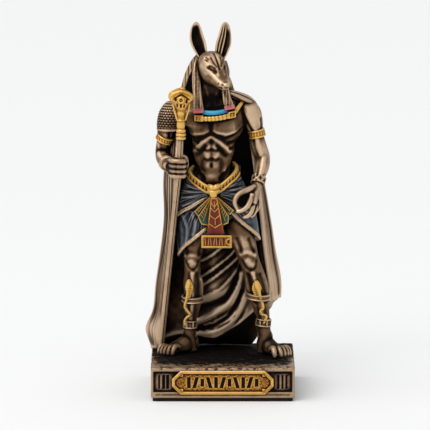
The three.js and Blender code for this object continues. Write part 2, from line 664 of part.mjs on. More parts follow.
// The bowed shaft, the ringed neck above the fist and the hooded head with its boss.
function staff() {
  const shapes = [rod(STAFF.map((p) => [...p, SHAFT_RADIUS]), 9, 6)];
  const ridges = [0, 1].flatMap((z) => [[1.15, z], [1.15, z + 0.6], [0.9, z + 0.8]]);
  const neck = [[1.1, 2.0], [1.1, 2.5], [0.95, 2.7], [1.05, 4.0], [0.85, 5.2], [0.95, 7.4], [0, 7.4]];
  const profile = [[0, 0], ...ridges, ...neck].map(([r, z]) => new THREE.Vector2(r, z));
  const turned = new THREE.LatheGeometry(profile, 8).rotateX(Math.PI / 2);
  shapes.push(place(turned, [-10.1, -5.95, 62.6]));
  const hood = [
    [-10.0, -5.9, 69.4, 1.0, 0.9, 0.9],
    [-10.0, -6.0, 70.6, 1.5, 1.3, 1.1],
    [-10.0, -6.0, 71.9, 2.4, 1.5, 1.2],
    [-10.0, -6.0, 73.2, 3.1, 1.4, 1.2],
    [-10.0, -5.9, 74.1, 2.9, 1.2, 1.1],
    [-10.0, -5.8, 74.9, 1.2, 0.8, 0.8],
  ];
  shapes.push(limb(hood, 5, 8));
  shapes.push(place(new THREE.TorusGeometry(0.62, 0.28, 4, 6), [-10.0, -7.5, 72.4], [90, 0, 0]));
  for (const side of [-1, 1]) {
    const curl = [[1.9, 71.0], [1.5, 69.2], [0.95, 67.6]];
    const prong = curl.map(([x, z]) => [-10.0 + side * x, -6.0, z, 0.3]);
    shapes.push(rod(prong, 2, 4));
  }
  return shapes;
}

function figure() {
  const shapes = [
    ...torso(),
    ...staffArm(),
    ...openArm(),
    ...leg(STAFF_LEG),
    ...leg(FREE_LEG),
    ...head(),
    ear(STAFF_EAR, [0.25, -1, 0.1]),
    ear(FREE_EAR, [0.85, -0.7, 0.1]),
    ...headcloth(),
    ...collar(),
    kilt(KILT.under, 0, 4, 18),
    kilt(KILT.over, 0.45, 3, 18),
    belt(1, 14),
    ...sash(),
    cape(11, 17),
    ...innerFolds(),
    shoulderFold(),
    ...staff(),
  ];
  const below = solid(box([-30, -30, -10], [30, 30, GROUND]));
  return filled(join(shapes).subtract(below));
}

// The plinth

// The plaque's outline in the XZ plane, with chamfered corners, drawn in from its edge by inset.
function plaqueOutline(inset) {
  const { middle, half, low, high, chamfer } = PLAQUE;
  const [left, right] = [middle - half + inset, middle + half - inset];
  const [bottom, top] = [low + inset, high - inset];
  const cut = chamfer - inset * 0.4;
  return [
    [left, bottom + cut], [left, top - cut], [left + cut, top], [right - cut, top],
    [right, top - cut], [right, bottom + cut], [right - cut, bottom], [left + cut, bottom],
  ];
}

// A short bar in the XZ plane between two points, as a carved stroke.
function stroke([x0, z0], [x1, z1], from, to) {
  const length = Math.hypot(x1 - x0, z1 - z0);
  const bar = new THREE.BoxGeometry(length, to - from, MARK.width);
  bar.rotateY(-Math.atan2(z1 - z0, x1 - x0));
  return bar.translate((x0 + x1) / 2, (from + to) / 2, (z0 + z1) / 2);
}

function plinth() {
  const { width, depth, corner } = PLINTH;
  const face = -depth / 2;
  const [x, y] = [width / 2 - PANEL.post, depth / 2 - PANEL.post];
  const [inX, inY] = [width / 2 - PANEL.recess, depth / 2 - PANEL.recess];
  let made = solid(block(width, depth, corner, PAD.height, GROUND));
  const cuts = [
    box([-x, -width, PANEL.low], [x, -inY, PANEL.high]),
    box([-x, inY, PANEL.low], [x, width, PANEL.high]),
    box([-width, -y, PANEL.low], [-inX, y, PANEL.high]),
    box([inX, -y, PANEL.low], [width, y, PANEL.high]),
  ];
  made = made.subtract(join(cuts));
  const bed = face - PLAQUE_FACE.proud + PLAQUE_FACE.sunk;
  made = made.add(solid(plate(plaqueOutline(0), face - PLAQUE_FACE.proud, face + 1)));
  made = made.subtract(solid(plate(plaqueOutline(PLAQUE_FACE.rim), face - 2, bed)));
  const marks = [];
  for (let k = 0; k < 9; k++) {
    const at = PLAQUE.middle - 7.6 + 1.9 * k;
    const lean = k % 3 === 1 ? 0.5 : 0;
    marks.push(stroke([at - lean, 3.3], [at + lean, 5.9], bed - 0.1, bed + MARK.depth));
  }
  const sunk = face + PANEL.recess;
  for (const at of [-15.5, -14.3, 13.3, 14.4, 15.5]) {
    marks.push(stroke([at, 3.2], [at, 6.4], sunk - 0.1, sunk + MARK.depth));
  }
  return made.subtract(join(marks));
}

const pad = block(
  PLINTH.width - 2 * PAD.inset, PLINTH.depth - 2 * PAD.inset, PLINTH.corner, 0, PAD.height,
);

const statuette = new THREE.Group();
statuette.add(mesh("figure", figure(), 0x8a6a4c, 0.42, 0.75));
statuette.add(mesh("plinth", plinth(), 0x7a5c42, 0.45, 0.7));
statuette.add(mesh("base_pad", solid(pad), 0x15110f, 0.9, 0));
export default statuette;
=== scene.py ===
"""Looks of a small painted resin figurine: a jackal-headed god with a staff and a long cape on a low plinth.

Sizes are millimetres until a mesh is made, which turns them into metres. The figure looks along -Y, +X is its
own left, and z = 0 is the underside of the pad.
"""

import logging
import math
from collections.abc import Callable, Sequence
from dataclasses import dataclass
from enum import Enum
from typing import ClassVar

import bpy
import numpy as np
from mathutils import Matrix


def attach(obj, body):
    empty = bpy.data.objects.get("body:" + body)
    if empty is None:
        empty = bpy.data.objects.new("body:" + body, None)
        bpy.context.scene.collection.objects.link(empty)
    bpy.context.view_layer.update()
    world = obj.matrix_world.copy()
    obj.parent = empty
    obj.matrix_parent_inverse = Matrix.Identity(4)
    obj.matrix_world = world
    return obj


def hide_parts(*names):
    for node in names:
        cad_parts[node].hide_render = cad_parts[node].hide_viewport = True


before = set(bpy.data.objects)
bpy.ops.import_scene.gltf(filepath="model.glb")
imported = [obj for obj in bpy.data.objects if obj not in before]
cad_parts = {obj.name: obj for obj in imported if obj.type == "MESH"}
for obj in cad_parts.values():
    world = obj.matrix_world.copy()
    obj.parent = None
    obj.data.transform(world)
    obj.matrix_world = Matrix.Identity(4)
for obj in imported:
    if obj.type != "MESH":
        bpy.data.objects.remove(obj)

import openvdb
from mathutils import Vector

Array = np.ndarray
Relief = Callable[[Array, Array], Array]

MM = 0.001
BODY = "root"
GROUND = 8.3
FORWARD = (0.0, -1.0, 0.0)
UP = (0.0, 0.0, 1.0)

# Rings in a rounded end and the least size that a ring shrinks to, as a share
DOME_RINGS = 6
LEAST_SHRINK = 0.02

# Grids that the head, the trunk with the arms, and the legs are fused on, and the skin's fine unevenness
HEAD_VOXEL = 0.15
BODY_VOXEL = 0.22
LEG_VOXEL = 0.215
SKIN_GRAIN = 0.004

# How much of a finish's mottle lies in its patches and in its specks
PATCH_SHARE = 2.0
SPECK_SHARE = 1.4

LOG = logging.getLogger("figurine")


class Slot(Enum):
    """The record's material slots."""

    BRONZE = "bronze_resin"
    PLINTH = "plinth_resin"
    PAD = "black_pad"
    GOLD = "gold_paint"
    BLUE_GREY = "blue_grey_paint"
    TURQUOISE = "turquoise_paint"
    GREEN = "green_paint"
    RED = "red_paint"
    ROSE = "rose_paint"


# Numbers as whole arrays


def bell(x: Array, width: float) -> Array:
    """A bump of height 1 at x = 0: e to the minus (x / width) squared."""
    return np.exp(-((x / width) ** 2))


def rise(x: Array, low: float, high: float) -> Array:
    """A smooth step from 0 at low to 1 at high: 3t squared minus 2t cubed."""
    t = np.clip((x - low) / (high - low), 0.0, 1.0)
    return t * t * (3.0 - 2.0 * t)


def within(x: Array, inner: float, outer: float) -> Array:
    """1 where x is nearer to 0 than inner, falling smoothly to 0 at outer, on both sides."""
    return 1 - rise(np.abs(x), inner, outer)


def between(x: Array, up: tuple[float, float], down: tuple[float, float]) -> Array:
    """1 between a smooth step up from 0 and a smooth step down to 0."""
    return rise(x, *up) * (1 - rise(x, *down))


def flutes(x: Array, power: float = 0.7) -> Array:
    """Rounded ridges side by side: the sine's size to a power."""
    return np.abs(np.sin(x)) ** power


def unit(vectors: Array) -> Array:
    """Vectors brought to length 1."""
    return vectors / np.linalg.norm(vectors, axis=-1, keepdims=True)


def bearing(points: Array, at: Sequence[float]) -> Array:
    """The angle of each point round an upright line through x, y, from +Y towards +X."""
    return np.arctan2(points[..., 0] - at[0], points[..., 1] - at[1])


def spline(a: Array, b: Array, c: Array, d: Array, f: Array) -> Array:
    """The Catmull-Rom curve from b to c at a share f of the way, with a before them and d after."""
    bend = 2 * a - 5 * b + 4 * c - d
    twist = 3 * b - a - 3 * c + d
    return 0.5 * (2 * b + (c - a) * f + bend * f**2 + twist * f**3)


def trace(rows: Sequence[Sequence[float]], t: Array) -> Array:
    """Rows of numbers on the smooth Catmull-Rom curve through the given rows.

    Args:
        rows: the rows that the curve passes through.
        t: places on the curve, from 0 to 1, in an array of any shape.

    Returns:
        An array with the shape of t and one more axis, as long as a row.
    """
    table = np.asarray(rows, float)
    s = np.clip(t, 0.0, 1.0) * (len(table) - 1)
    i = np.minimum(s.astype(int), len(table) - 2)
    f = (s - i)[..., None]
    a, b = table[np.maximum(i - 1, 0)], table[i]
    c, d = table[i + 1], table[np.minimum(i + 2, len(table) - 1)]
    return spline(a, b, c, d, f)


def around(values: Sequence[float], turn: Array) -> Array:
    """Numbers on a smooth closed curve through the values, at parts of a full turn."""
    count = len(values)
    rows = [[values[k % count]] for k in range(-2, count + 3)]
    return trace(rows, (np.mod(turn, 1.0) * count + 2) / (count + 4))[..., 0]


def grain(points: Array, size: float, seed: int, waves: int = 20) -> Array:
    """Smooth noise of about unit strength: a sum of plane waves of random direction, length and phase."""
    rng = np.random.default_rng(seed)
    ways = unit(rng.normal(size=(waves, 3)))
    ways *= (2 * math.pi / size) * rng.uniform(0.6, 1.5, (waves, 1))
    phases = rng.uniform(0, 2 * math.pi, waves)
    total = np.zeros(points.shape[:-1])
    for way, phase in zip(ways, phases):
        total += np.sin(points @ way + phase)
    return total * math.sqrt(2.0 / waves)


def turned(points: Array, about_x: float, about_z: float, at: Sequence[float]) -> Array:
    """Points turned by degrees about X, then by degrees about Z, then moved."""
    a, b = math.radians(about_x), math.radians(about_z)
    tip = np.array([[1, 0, 0], [0, math.cos(a), -math.sin(a)], [0, math.sin(a), math.cos(a)]])
    swing = np.array([[math.cos(b), -math.sin(b), 0], [math.sin(b), math.cos(b), 0], [0, 0, 1]])
    return points @ (swing @ tip).T + np.asarray(at)


@dataclass(frozen=True)
class Stroke:
    """A line drawn on a surface: raised where height is positive and cut where it is negative.

    A way of two numbers a row is x, z and is seen from the front. A way of three is a place in space.
    """

    way: tuple
    width: float
    height: float
    samples: int = 64


def drawn(points: Array, strokes: Sequence[Stroke]) -> Array:
    """How far the strokes lift each point: for each, its height times a bell of the distance to its way."""
    total = np.zeros(points.shape[:-1])
    for stroke in strokes:
        way = trace(stroke.way, np.linspace(0, 1, stroke.samples))
        seen = points[..., [0, 2]] if way.shape[1] == 2 else points
        low, high = way.min(0) - 3 * stroke.width, way.max(0) + 3 * stroke.width
        near = np.all((seen > low) & (seen < high), axis=-1)
        gap = seen[near][:, None, :] - way[None, :, :]
        nearest = np.min(np.sum(gap**2, axis=-1), axis=1) if near.any() else np.zeros(0)
        total[near] += stroke.height * np.exp(-nearest / stroke.width**2)
    return total


# Surfaces


@dataclass
class Shell:
    """A closed surface in millimetres, with its faces outwards and a painted tone added at each point."""

    points: Array
    quads: Array
    tris: Array
    tone: Array

    def triangles(self) -> Array:
        """All faces as triangles, each quad cut in two."""
        return np.concatenate([self.tris, self.quads[:, [0, 1, 2]], self.quads[:, [0, 2, 3]]])

    def outwards(self) -> "Shell":
        """The same surface, turned inside out if its volume comes out negative."""
        a, b, c = (self.points[corner] for corner in self.triangles().T)
        if np.einsum("ij,ij->", a, np.cross(b, c)) < 0:
            self.quads, self.tris = self.quads[:, ::-1], self.tris[:, ::-1]
        return self

    def evened(self, times: int) -> Array:
        """The points after each has moved halfway to the mean of its neighbours, as often as times says."""
        edges = np.concatenate([
            faces[:, [k, (k + 1) % faces.shape[1]]]
            for faces in (self.quads, self.tris)
            for k in range(faces.shape[1])
        ])
        count = len(self.points)
        degree = np.maximum(np.bincount(edges[:, 0], minlength=count), 1)
        points = self.points
        for _ in range(times):
            mean = [np.bincount(edges[:, 0], points[edges[:, 1], k], count) / degree for k in range(3)]
            points = 0.5 * (points + np.stack(mean, axis=1))
        return points

    def normals(self) -> Array:
        """The unit normal at each point: the sum of the cross products of the faces round it."""
        p = self.points
        total = np.zeros_like(p)
        for faces in (self.quads, self.tris):
            if not len(faces):
                continue
            cross = np.cross(p[faces[:, 2]] - p[faces[:, 0]], p[faces[:, -1]] - p[faces[:, 1]])
            for corner in faces.T:
                for axis in range(3):
                    total[:, axis] += np.bincount(corner, cross[:, axis], len(p))
        return total / np.maximum(np.linalg.norm(total, axis=1, keepdims=True), 1e-12)


def joined(shells: Sequence[Shell]) -> Shell:
    """All the surfaces as one list of points and faces."""
    starts = np.cumsum([0] + [len(s.points) for s in shells[:-1]])
    return Shell(
        np.concatenate([s.points for s in shells]),
        np.concatenate([s.quads + k for s, k in zip(shells, starts)]),
        np.concatenate([s.tris + k for s, k in zip(shells, starts)]),
        np.concatenate([s.tone for s in shells]),
    )


def closed(grid: Array, tone: Array | None = None, bridged: bool = False) -> Shell:
    """A skin over rings of points, each ring closed on itself and each end closed by a fan to its middle.

    Args:
        grid: points, as rings by places round a ring by x, y, z.
        tone: the painted tone added at each of them, if any.
        bridged: whether each ring goes out and comes back, so that the ends are closed straight across.

    Returns:
        The closed surface, faces outwards.
    """
    rings, sides = grid.shape[:2]
    index = np.arange(rings * sides).reshape(rings, sides)
    after = np.roll(index, -1, axis=1)
    quads = np.stack([index[:-1], after[:-1], after[1:], index[1:]], axis=-1).reshape(-1, 4)
    poles = np.array([grid[0].mean(0), grid[-1].mean(0)])
    first, last = rings * sides, rings * sides + 1
    near = np.stack([np.full(sides, first), after[0], index[0]], axis=-1)
    far = np.stack([np.full(sides, last), index[-1], after[-1]], axis=-1)
    painted = np.zeros((rings, sides)) if tone is None else np.broadcast_to(tone, (rings, sides))
    if bridged:
        caps = []
        for ring in (index[0], index[-1][::-1]):
            there, back = ring[: sides // 2], ring[::-1][: sides // 2]
            caps.append(np.stack([there[:-1], back[:-1], back[1:], there[1:]], axis=-1))
        no_tris = np.zeros((0, 3), int)
        skin = Shell(grid.reshape(-1, 3), np.concatenate([quads, *caps]), no_tris, painted.reshape(-1))
        return skin.outwards()
    ends = [painted[0].mean(), painted[-1].mean()]
    points = np.concatenate([grid.reshape(-1, 3), poles])
    tones = np.concatenate([painted.reshape(-1), ends])
    return Shell(points, quads, np.concatenate([near, far]), tones).outwards()


def limb(
    rows: Sequence[Sequence[float]],
    rings: int = 48,
    sides: int = 32,
    front: Sequence[float] = FORWARD,
    power: float = 2.0,
    dome: float = 0.0,
    relief: Relief | None = None,
    tone: Relief | None = None,
) -> Shell:
    """A rounded form carried along a smooth path.

    Each ring is x = half width times cos(a), y = reach times sin(a), with both raised to 2 / power, set
    square to the path. Where dome is given, each end closes over in a quarter circle of that length.

    Args:
        rows: x, y, z, half width, reach to the front and reach to the back.
        rings: rings along the path.
        sides: points round a ring.
        front: the way that the front of the form faces.
        power: 2 for an ellipse, more for a squarer section.
        dome: the length of the rounded ends.
        relief: from points and outward directions, how far the carving stands out.
        tone: from points and outward directions, the painted tone that is added.

    Returns:
        The closed surface.
    """
    t = np.linspace(0, 1, rings)
    path = trace(rows, t)
    centre, wide, fore, aft = path[:, :3], path[:, 3], path[:, 4], path[:, 5]
    step = 0.5 / rings
    tangent = unit(trace(rows, t + step)[:, :3] - trace(rows, t - step)[:, :3])
    if dome:
        bend = np.linspace(math.pi / 2, 0, DOME_RINGS + 1)[:-1]
        shrink = np.concatenate([np.cos(bend), np.ones(rings), np.cos(bend[::-1])])[:, None]
        push = np.concatenate([-dome * np.sin(bend), np.zeros(rings), dome * np.sin(bend[::-1])])[:, None]
        ends = [0] * len(bend) + list(range(rings)) + [rings - 1] * len(bend)
        centre, tangent = centre[ends] + tangent[ends] * push, tangent[ends]
        wide, fore, aft = wide[ends], fore[ends], aft[ends]
        shrink = np.maximum(shrink, LEAST_SHRINK)
    else:
        shrink = np.ones((rings, 1))
    ahead = unit(np.asarray(front) - tangent * (tangent @ np.asarray(front))[:, None])
    side = np.cross(ahead, tangent)
    angle = 2 * math.pi * (np.arange(sides) + 0.5) / sides
    c, s = (np.sign(v) * np.abs(v) ** (2 / power) for v in (np.cos(angle), np.sin(angle)))
    reach = np.where(s > 0, fore[:, None], aft[:, None]) * s * shrink
    across = wide[:, None] * c * shrink
    away = side[:, None, :] * across[..., None] + ahead[:, None, :] * reach[..., None]
    points = centre[:, None, :] + away
    out = away / np.maximum(np.linalg.norm(away, axis=-1, keepdims=True), 1e-9)
    painted = tone(points, out) if tone else None
    if relief:
        points = points + out * relief(points, out)[..., None]
    return closed(points, painted)


def rod(
    rows: Sequence[Sequence[float]], rings: int = 40, sides: int = 16, front: Sequence[float] = FORWARD,
    relief: Relief | None = None,
) -> Shell:
    """A round rod with round ends through points, each x, y, z and radius."""
    path = [[x, y, z, r, r, r] for x, y, z, r in rows]
    return limb(path, rings, sides, front, dome=rows[-1][3], relief=relief)


def ring_band(
    at: Sequence[float], way: Sequence[float], wide: float, fore: float, aft: float, height: float,
    relief: Relief | None = None, rings: int = 24, sides: int = 96,
) -> Shell:
    """A band round a limb: a short form square to a way, centred on a point."""
    half = unit(np.asarray(way, float)) * height / 2
    low, high = np.asarray(at) - half, np.asarray(at) + half
    rows = [[*low, wide, fore, aft], [*high, wide, fore, aft]]
    return limb(rows, rings, sides, dome=0.12, relief=relief)


def slab(
    outline: Sequence[Sequence[float]],
    front: float,
    back: float,
    relief: Relief | None = None,
    tone: Relief | None = None,
    bevel: float = 0.12,
    spacing: float = 0.12,
    rings: int = 40,
) -> Shell:
    """A flat shape seen from the front, as rings that shrink from its outline to its middle.

    Args:
        outline: x, z corners, joined by straight edges.
        front: Y of the front face.
        back: Y of the back face.
        relief: from x and z, how far the front stands out.
        tone: from x and z, the painted tone added on the front.
        bevel: the width of the rounded edge.
        spacing: the distance between points along the outline.
        rings: rings on the front face.

    Returns:
        The closed surface.
    """
    corners = np.asarray(outline, float)
    ends = np.roll(corners, -1, axis=0)
    sides = []
    for a, b in zip(corners, ends):
        count = max(int(np.linalg.norm(b - a) / spacing), 2)
        sides.append(a + (b - a) * np.linspace(0, 1, count, endpoint=False)[:, None])
    edge = np.concatenate(sides)
    middle = corners.mean(0)
    size = np.abs(edge - middle).max()
    scale = np.linspace(LEAST_SHRINK, 1 - bevel / size, rings)
    flat = middle + (edge - middle)[None] * scale[:, None, None]
    lift = relief(flat[..., 0], flat[..., 1]) if relief else np.zeros(flat.shape[:2])
    face = np.stack([flat[..., 0], front - lift, flat[..., 1]], axis=-1)
    turn = np.linspace(0, math.pi / 2, 5)[1:]
    grow = 1 - bevel / size * (1 - np.sin(turn))
    lip = middle + (edge - middle)[None] * grow[:, None, None]
    drop = front + bevel * (1 - np.cos(turn))[:, None] - lift[-1][None] * np.cos(turn)[:, None]
    rim = np.stack([lip[..., 0], np.broadcast_to(drop, lip.shape[:2]), lip[..., 1]], axis=-1)
    behind = middle + (edge - middle)[None] * np.array([1.0, 0.5, LEAST_SHRINK])[:, None, None]
    rear = np.stack([behind[..., 0], np.full(behind.shape[:2], back), behind[..., 1]], axis=-1)
    painted = np.zeros((rings + len(turn) + 3, len(edge)))
    if tone:
        painted[:rings] = tone(flat[..., 0], flat[..., 1])
    return closed(np.concatenate([face, rim, rear]), painted)


def distance_grid(shell: Shell, points: Array, voxel: float, cells: float) -> openvdb.FloatGrid:
    """Distances to the shell's faces on the given points, on a grid of the voxel's size.

    Args:
        shell: the faces.
        points: the shell's points, perhaps moved.
        voxel: the grid's spacing.
        cells: how many cells to each side of the surface are measured.

    Returns:
        The grid, negative inside.
    """
    return openvdb.FloatGrid.createLevelSetFromPolygons(
        points.astype(np.float32),
        triangles=shell.triangles().astype(np.uint32),
        transform=openvdb.createLinearTransform(voxelSize=voxel),
        halfWidth=cells,
    )


def fused(shells: Sequence[Shell], voxel: float, smooth: int = 2) -> Shell:
    """Surfaces that overlap, cast as one skin.

    They are measured into a field of distances on a grid of the voxel's size, and the skin is the surface
    where the field is zero. Each point is then moved halfway to the mean of its neighbours, smooth times.

    Args:
        shells: closed surfaces.
        voxel: the grid's spacing.
        smooth: how often to smooth.

    Returns:
        The closed skin.
    """
    whole = joined(shells)
    distances = distance_grid(whole, whole.points, voxel, 3.0)
    points, quads = distances.convertToQuads()
    points, quads = np.asarray(points, float), np.asarray(quads, int)
    skin = Shell(points, quads, np.zeros((0, 3), int), np.zeros(len(points))).outwards()
    skin.points = skin.evened(smooth)
    return skin


# Paint and painted shade: how dark or bright each point is, from how much of the figurine lies round it


@dataclass
class Hollows:
    """How far each place lies in a hollow, measured on a grid that is 1 inside the figurine and 0 outside.

    The mean of the grid round a point is a half on a flat face, more in a hollow and less on an edge. It is
    taken at a fine, a middle and a wide reach in millimetres. The shares say how much each reach counts: the
    last two have one share for edges and one for hollows. Crispness is how far a point stands out from its
    neighbours, and it counts up to a limit. Dark in narrow crevices stands for the wash and light on edges
    for dry-brushing, but the dark that the middle and wide reaches add deep in hollows and between parts is
    painted shade. Faces that look up and forward are lighter, partly dry-brushing and partly painted light.
    """

    voxel: float = 0.22
    margin: float = 5.0
    fine: float = 0.42
    middle: float = 1.1
    wide: float = 2.6
    coarser: int = 3
    reach: float = 2.2
    off_surface: float = 0.1
    base: float = 0.46
    crisp: float = 7.0
    crisp_limit: float = 0.25
    crisp_rounds: int = 8
    fine_share: float = 1.3
    middle_shares: tuple[float, float] = (0.4, 1.6)
    wide_shares: tuple[float, float] = (0.1, 1.0)
    brushed_and_lit_from_above: float = 0.07
    brushed_and_lit_from_front: float = 0.06

    def measure(self, shells: Sequence[Shell]) -> None:
        """Fills the grid with the surfaces and blurs it at the three widths."""
        points = np.concatenate([s.points for s in shells])
        self.low = points.min(0) - self.margin
        self.shape = np.ceil((points.max(0) + self.margin - self.low) / self.voxel).astype(int)
        full = np.zeros(self.shape, np.float32)
        for shell in shells:
            np.maximum(full, self.filled(shell), out=full)
        self.grids = [self.blurred(full, width) for width in (self.fine, self.middle)]
        k = self.coarser
        a, b, c = (n // k for n in full.shape)
        coarse = full[: a * k, : b * k, : c * k].reshape(a, k, b, k, c, k).mean(axis=(1, 3, 5))
        self.coarse = self.blurred(coarse, self.wide, k)

    def filled(self, shell: Shell) -> Array:
        """The share of each grid cell that one surface holds."""
        values = np.empty(self.shape, np.float32)
        distance_grid(shell, shell.points - self.low, self.voxel, 2.0).copyToArray(values)
        return np.clip(0.5 - values / self.voxel, 0.0, 1.0)

    def blurred(self, grid: Array, width: float, cells: int = 1) -> Array:
        """The grid blurred by a bell of the given width in millimetres, one axis after the other."""
        sigma = width / (self.voxel * cells)
        reach = max(int(self.reach * sigma), 1)
        weights = np.exp(-0.5 * (np.arange(-reach, reach + 1) / sigma) ** 2)
        weights = (weights / weights.sum()).astype(np.float32)
        for axis in range(3):
            total = np.zeros_like(grid)
            for shift, weight in zip(range(-reach, reach + 1), weights):
                total += weight * np.roll(grid, shift, axis=axis)
            grid = total
        return grid

    def sample(self, grid: Array, points: Array, cells: int = 1) -> Array:
        """The grid's value at points, mixed from the eight cells round each."""
        spot = (points - self.low) / (self.voxel * cells) - (0.5 * (cells - 1) / cells)
        base = np.clip(np.floor(spot).astype(int), 0, np.array(grid.shape) - 2)
        f = np.clip(spot - base, 0, 1)
        total = np.zeros(len(points))
        for corner in np.ndindex(2, 2, 2):
            share = np.prod(np.where(np.array(corner), f, 1 - f), axis=1)
            total += share * grid[tuple((base + corner).T)]
        return total

    def tone(self, shell: Shell) -> Array:
        """The tone at each point: 0 deep in a hollow, a half on a flat face and 1 on a sharp edge."""
        out = shell.normals()
        lifted = shell.points + out * self.off_surface
        fine = 0.5 - self.sample(self.grids[0], shell.points)
        middle = 0.5 - self.sample(self.grids[1], lifted)
        wide = 0.5 - self.sample(self.coarse, lifted, self.coarser)
        crisp = np.einsum("ij,ij->i", shell.points - shell.evened(self.crisp_rounds), out)
        level = self.base + np.clip(self.crisp * crisp, -self.crisp_limit, self.crisp_limit)
        level += self.fine_share * fine
        # The middle and wide reaches darken deep hollows and the gaps between parts: painted shade.
        level += np.where(middle > 0, *self.middle_shares) * middle
        level += np.where(wide > 0, *self.wide_shares) * wide
        # Faces that look up and forward are lighter, partly as dry-brushing and partly as painted light from
        # above and in front.
        level += self.brushed_and_lit_from_above * out[:, 2] - self.brushed_and_lit_from_front * out[:, 1]
        return np.clip(level + shell.tone, 0.0, 1.0)


# Finishes


@dataclass(frozen=True)
class Finish:
    """A paint over cast resin: dark wash in the hollows, the paint itself, and worn or dry-brushed edges.

    The stops are the tones of the four colours. Mottle is how far noise shifts the tone, in patches of
    patch_size and specks of grain_size millimetres. A stretch under 1 draws them out along Z. The darkest
    colour is the wash, and painted shade where the tone is low deep in hollows and between parts.
    """

    name: str
    slot: Slot
    wash: tuple[float, float, float]
    shade: tuple[float, float, float]
    paint: tuple[float, float, float]
    edge: tuple[float, float, float]
    metallic: float = 0.72
    smooth: float = 0.44
    rough: float = 0.8
    stops: tuple[float, float, float, float] = (0.3, 0.48, 0.66, 1.0)
    mottle: float = 0.09
    patch_size: float = 2.0
    grain_size: float = 0.3
    stretch: float = 1.0
    bump: float = 0.3
    bump_height: float = 0.08
    specular: float = 0.3

    def material(self) -> bpy.types.Material:
        """The finish as shader nodes: the tone attribute plus noise runs through a colour ramp."""
        made = bpy.data.materials.new(self.name)
        made.use_nodes = True
        nodes, links = made.node_tree.nodes, made.node_tree.links
        shader = nodes["Principled BSDF"]
        shader.inputs["Metallic"].default_value = self.metallic
        shader.inputs["Specular IOR Level"].default_value = self.specular
        tone = nodes.new("ShaderNodeAttribute")
        tone.attribute_name = "tone"
        place = nodes.new("ShaderNodeTexCoord")
        fitted = nodes.new("ShaderNodeMapping")
        fitted.inputs["Scale"].default_value = (1.0, 1.0, self.stretch)
        links.new(place.outputs["Object"], fitted.inputs["Vector"])
        patches = self.noise(nodes, links, fitted, self.patch_size, 5.0)
        specks = self.noise(nodes, links, fitted, self.grain_size, 3.0)
        large, small = self.mottle * PATCH_SHARE, self.mottle * SPECK_SHARE
        patched = self.math(nodes, links, "MULTIPLY_ADD", patches, large, tone.outputs["Fac"])
        level = self.math(nodes, links, "MULTIPLY_ADD", specks, small, patched)
        mean = (large + small) / 2
        centred = self.math(nodes, links, "SUBTRACT", level, mean, None)
        ramp = nodes.new("ShaderNodeValToRGB")
        ramp.color_ramp.interpolation = "EASE"
        colours = (self.wash, self.shade, self.paint, self.edge)
        while len(ramp.color_ramp.elements) < len(colours):
            ramp.color_ramp.elements.new(0.5)
        for element, stop, colour in zip(ramp.color_ramp.elements, self.stops, colours):
            element.position = stop
            element.color = (*colour, 1.0)
        links.new(centred, ramp.inputs["Fac"])
        links.new(ramp.outputs["Color"], shader.inputs["Base Color"])
        gloss = nodes.new("ShaderNodeMapRange")
        keys = ("From Min", "From Max", "To Min", "To Max")
        for key, value in zip(keys, (self.stops[0], self.stops[2], self.rough, self.smooth)):
            gloss.inputs[key].default_value = value
        links.new(centred, gloss.inputs["Value"])
        links.new(gloss.outputs["Result"], shader.inputs["Roughness"])
        bump = nodes.new("ShaderNodeBump")
        bump.inputs["Strength"].default_value = self.bump
        bump.inputs["Distance"].default_value = self.bump_height * MM
        links.new(specks, bump.inputs["Height"])
        links.new(bump.outputs["Normal"], shader.inputs["Normal"])
        return made

    def noise(self, nodes, links, place, size: float, detail: float) -> bpy.types.NodeSocket:
        """A noise texture on object coordinates whose features are size millimetres across."""
        node = nodes.new("ShaderNodeTexNoise")
        node.inputs["Scale"].default_value = 1.0 / (size * MM)
        node.inputs["Detail"].default_value = detail
        node.inputs["Roughness"].default_value = 0.6
        links.new(place.outputs["Vector"], node.inputs["Vector"])
        return node.outputs["Fac"]

    def math(self, nodes, links, operation: str, value, second: float, third) -> bpy.types.NodeSocket:
        """A math node on one linked value, one number and perhaps a second linked value."""
        node = nodes.new("ShaderNodeMath")
        node.operation = operation
        links.new(value, node.inputs[0])
        node.inputs[1].default_value = second
        if third is not None:
            links.new(third, node.inputs[2])
        return node.outputs[0]


BRONZE = Finish(
    "bronze_cast", Slot.BRONZE, (0.004, 0.002, 0.001), (0.034, 0.017, 0.008), (0.155, 0.084, 0.04),
    (0.66, 0.47, 0.31),
)
CLOTH_BRONZE = Finish(
    "bronze_cloth", Slot.BRONZE, (0.004, 0.002, 0.001), (0.03, 0.015, 0.007), (0.14, 0.083, 0.046),
    (0.62, 0.45, 0.31), stretch=0.25, mottle=0.05,
)
EARTH = Finish(
    "bronze_earth", Slot.PLINTH, (0.003, 0.002, 0.001), (0.022, 0.011, 0.006), (0.12, 0.067, 0.035),
    (0.43, 0.3, 0.19), mottle=0.14,
)
GOLD = Finish(
    "gold_paint", Slot.GOLD, (0.014, 0.005, 0.002), (0.13, 0.045, 0.006), (0.42, 0.19, 0.024),
    (0.77, 0.47, 0.125), metallic=0.6, smooth=0.38, mottle=0.14, stops=(0.27, 0.46, 0.66, 1.0),
)
BLUE_GREY = Finish(
    "blue_grey_paint", Slot.BLUE_GREY, (0.004, 0.004, 0.005), (0.022, 0.023, 0.028), (0.085, 0.096, 0.115),
    (0.31, 0.29, 0.27), metallic=0.3, smooth=0.45, stretch=0.6,
)
TURQUOISE = Finish(
    "turquoise_paint", Slot.TURQUOISE, (0.004, 0.02, 0.03), (0.004, 0.08, 0.16), (0.008, 0.2, 0.38),
    (0.06, 0.38, 0.6), metallic=0.0,
)
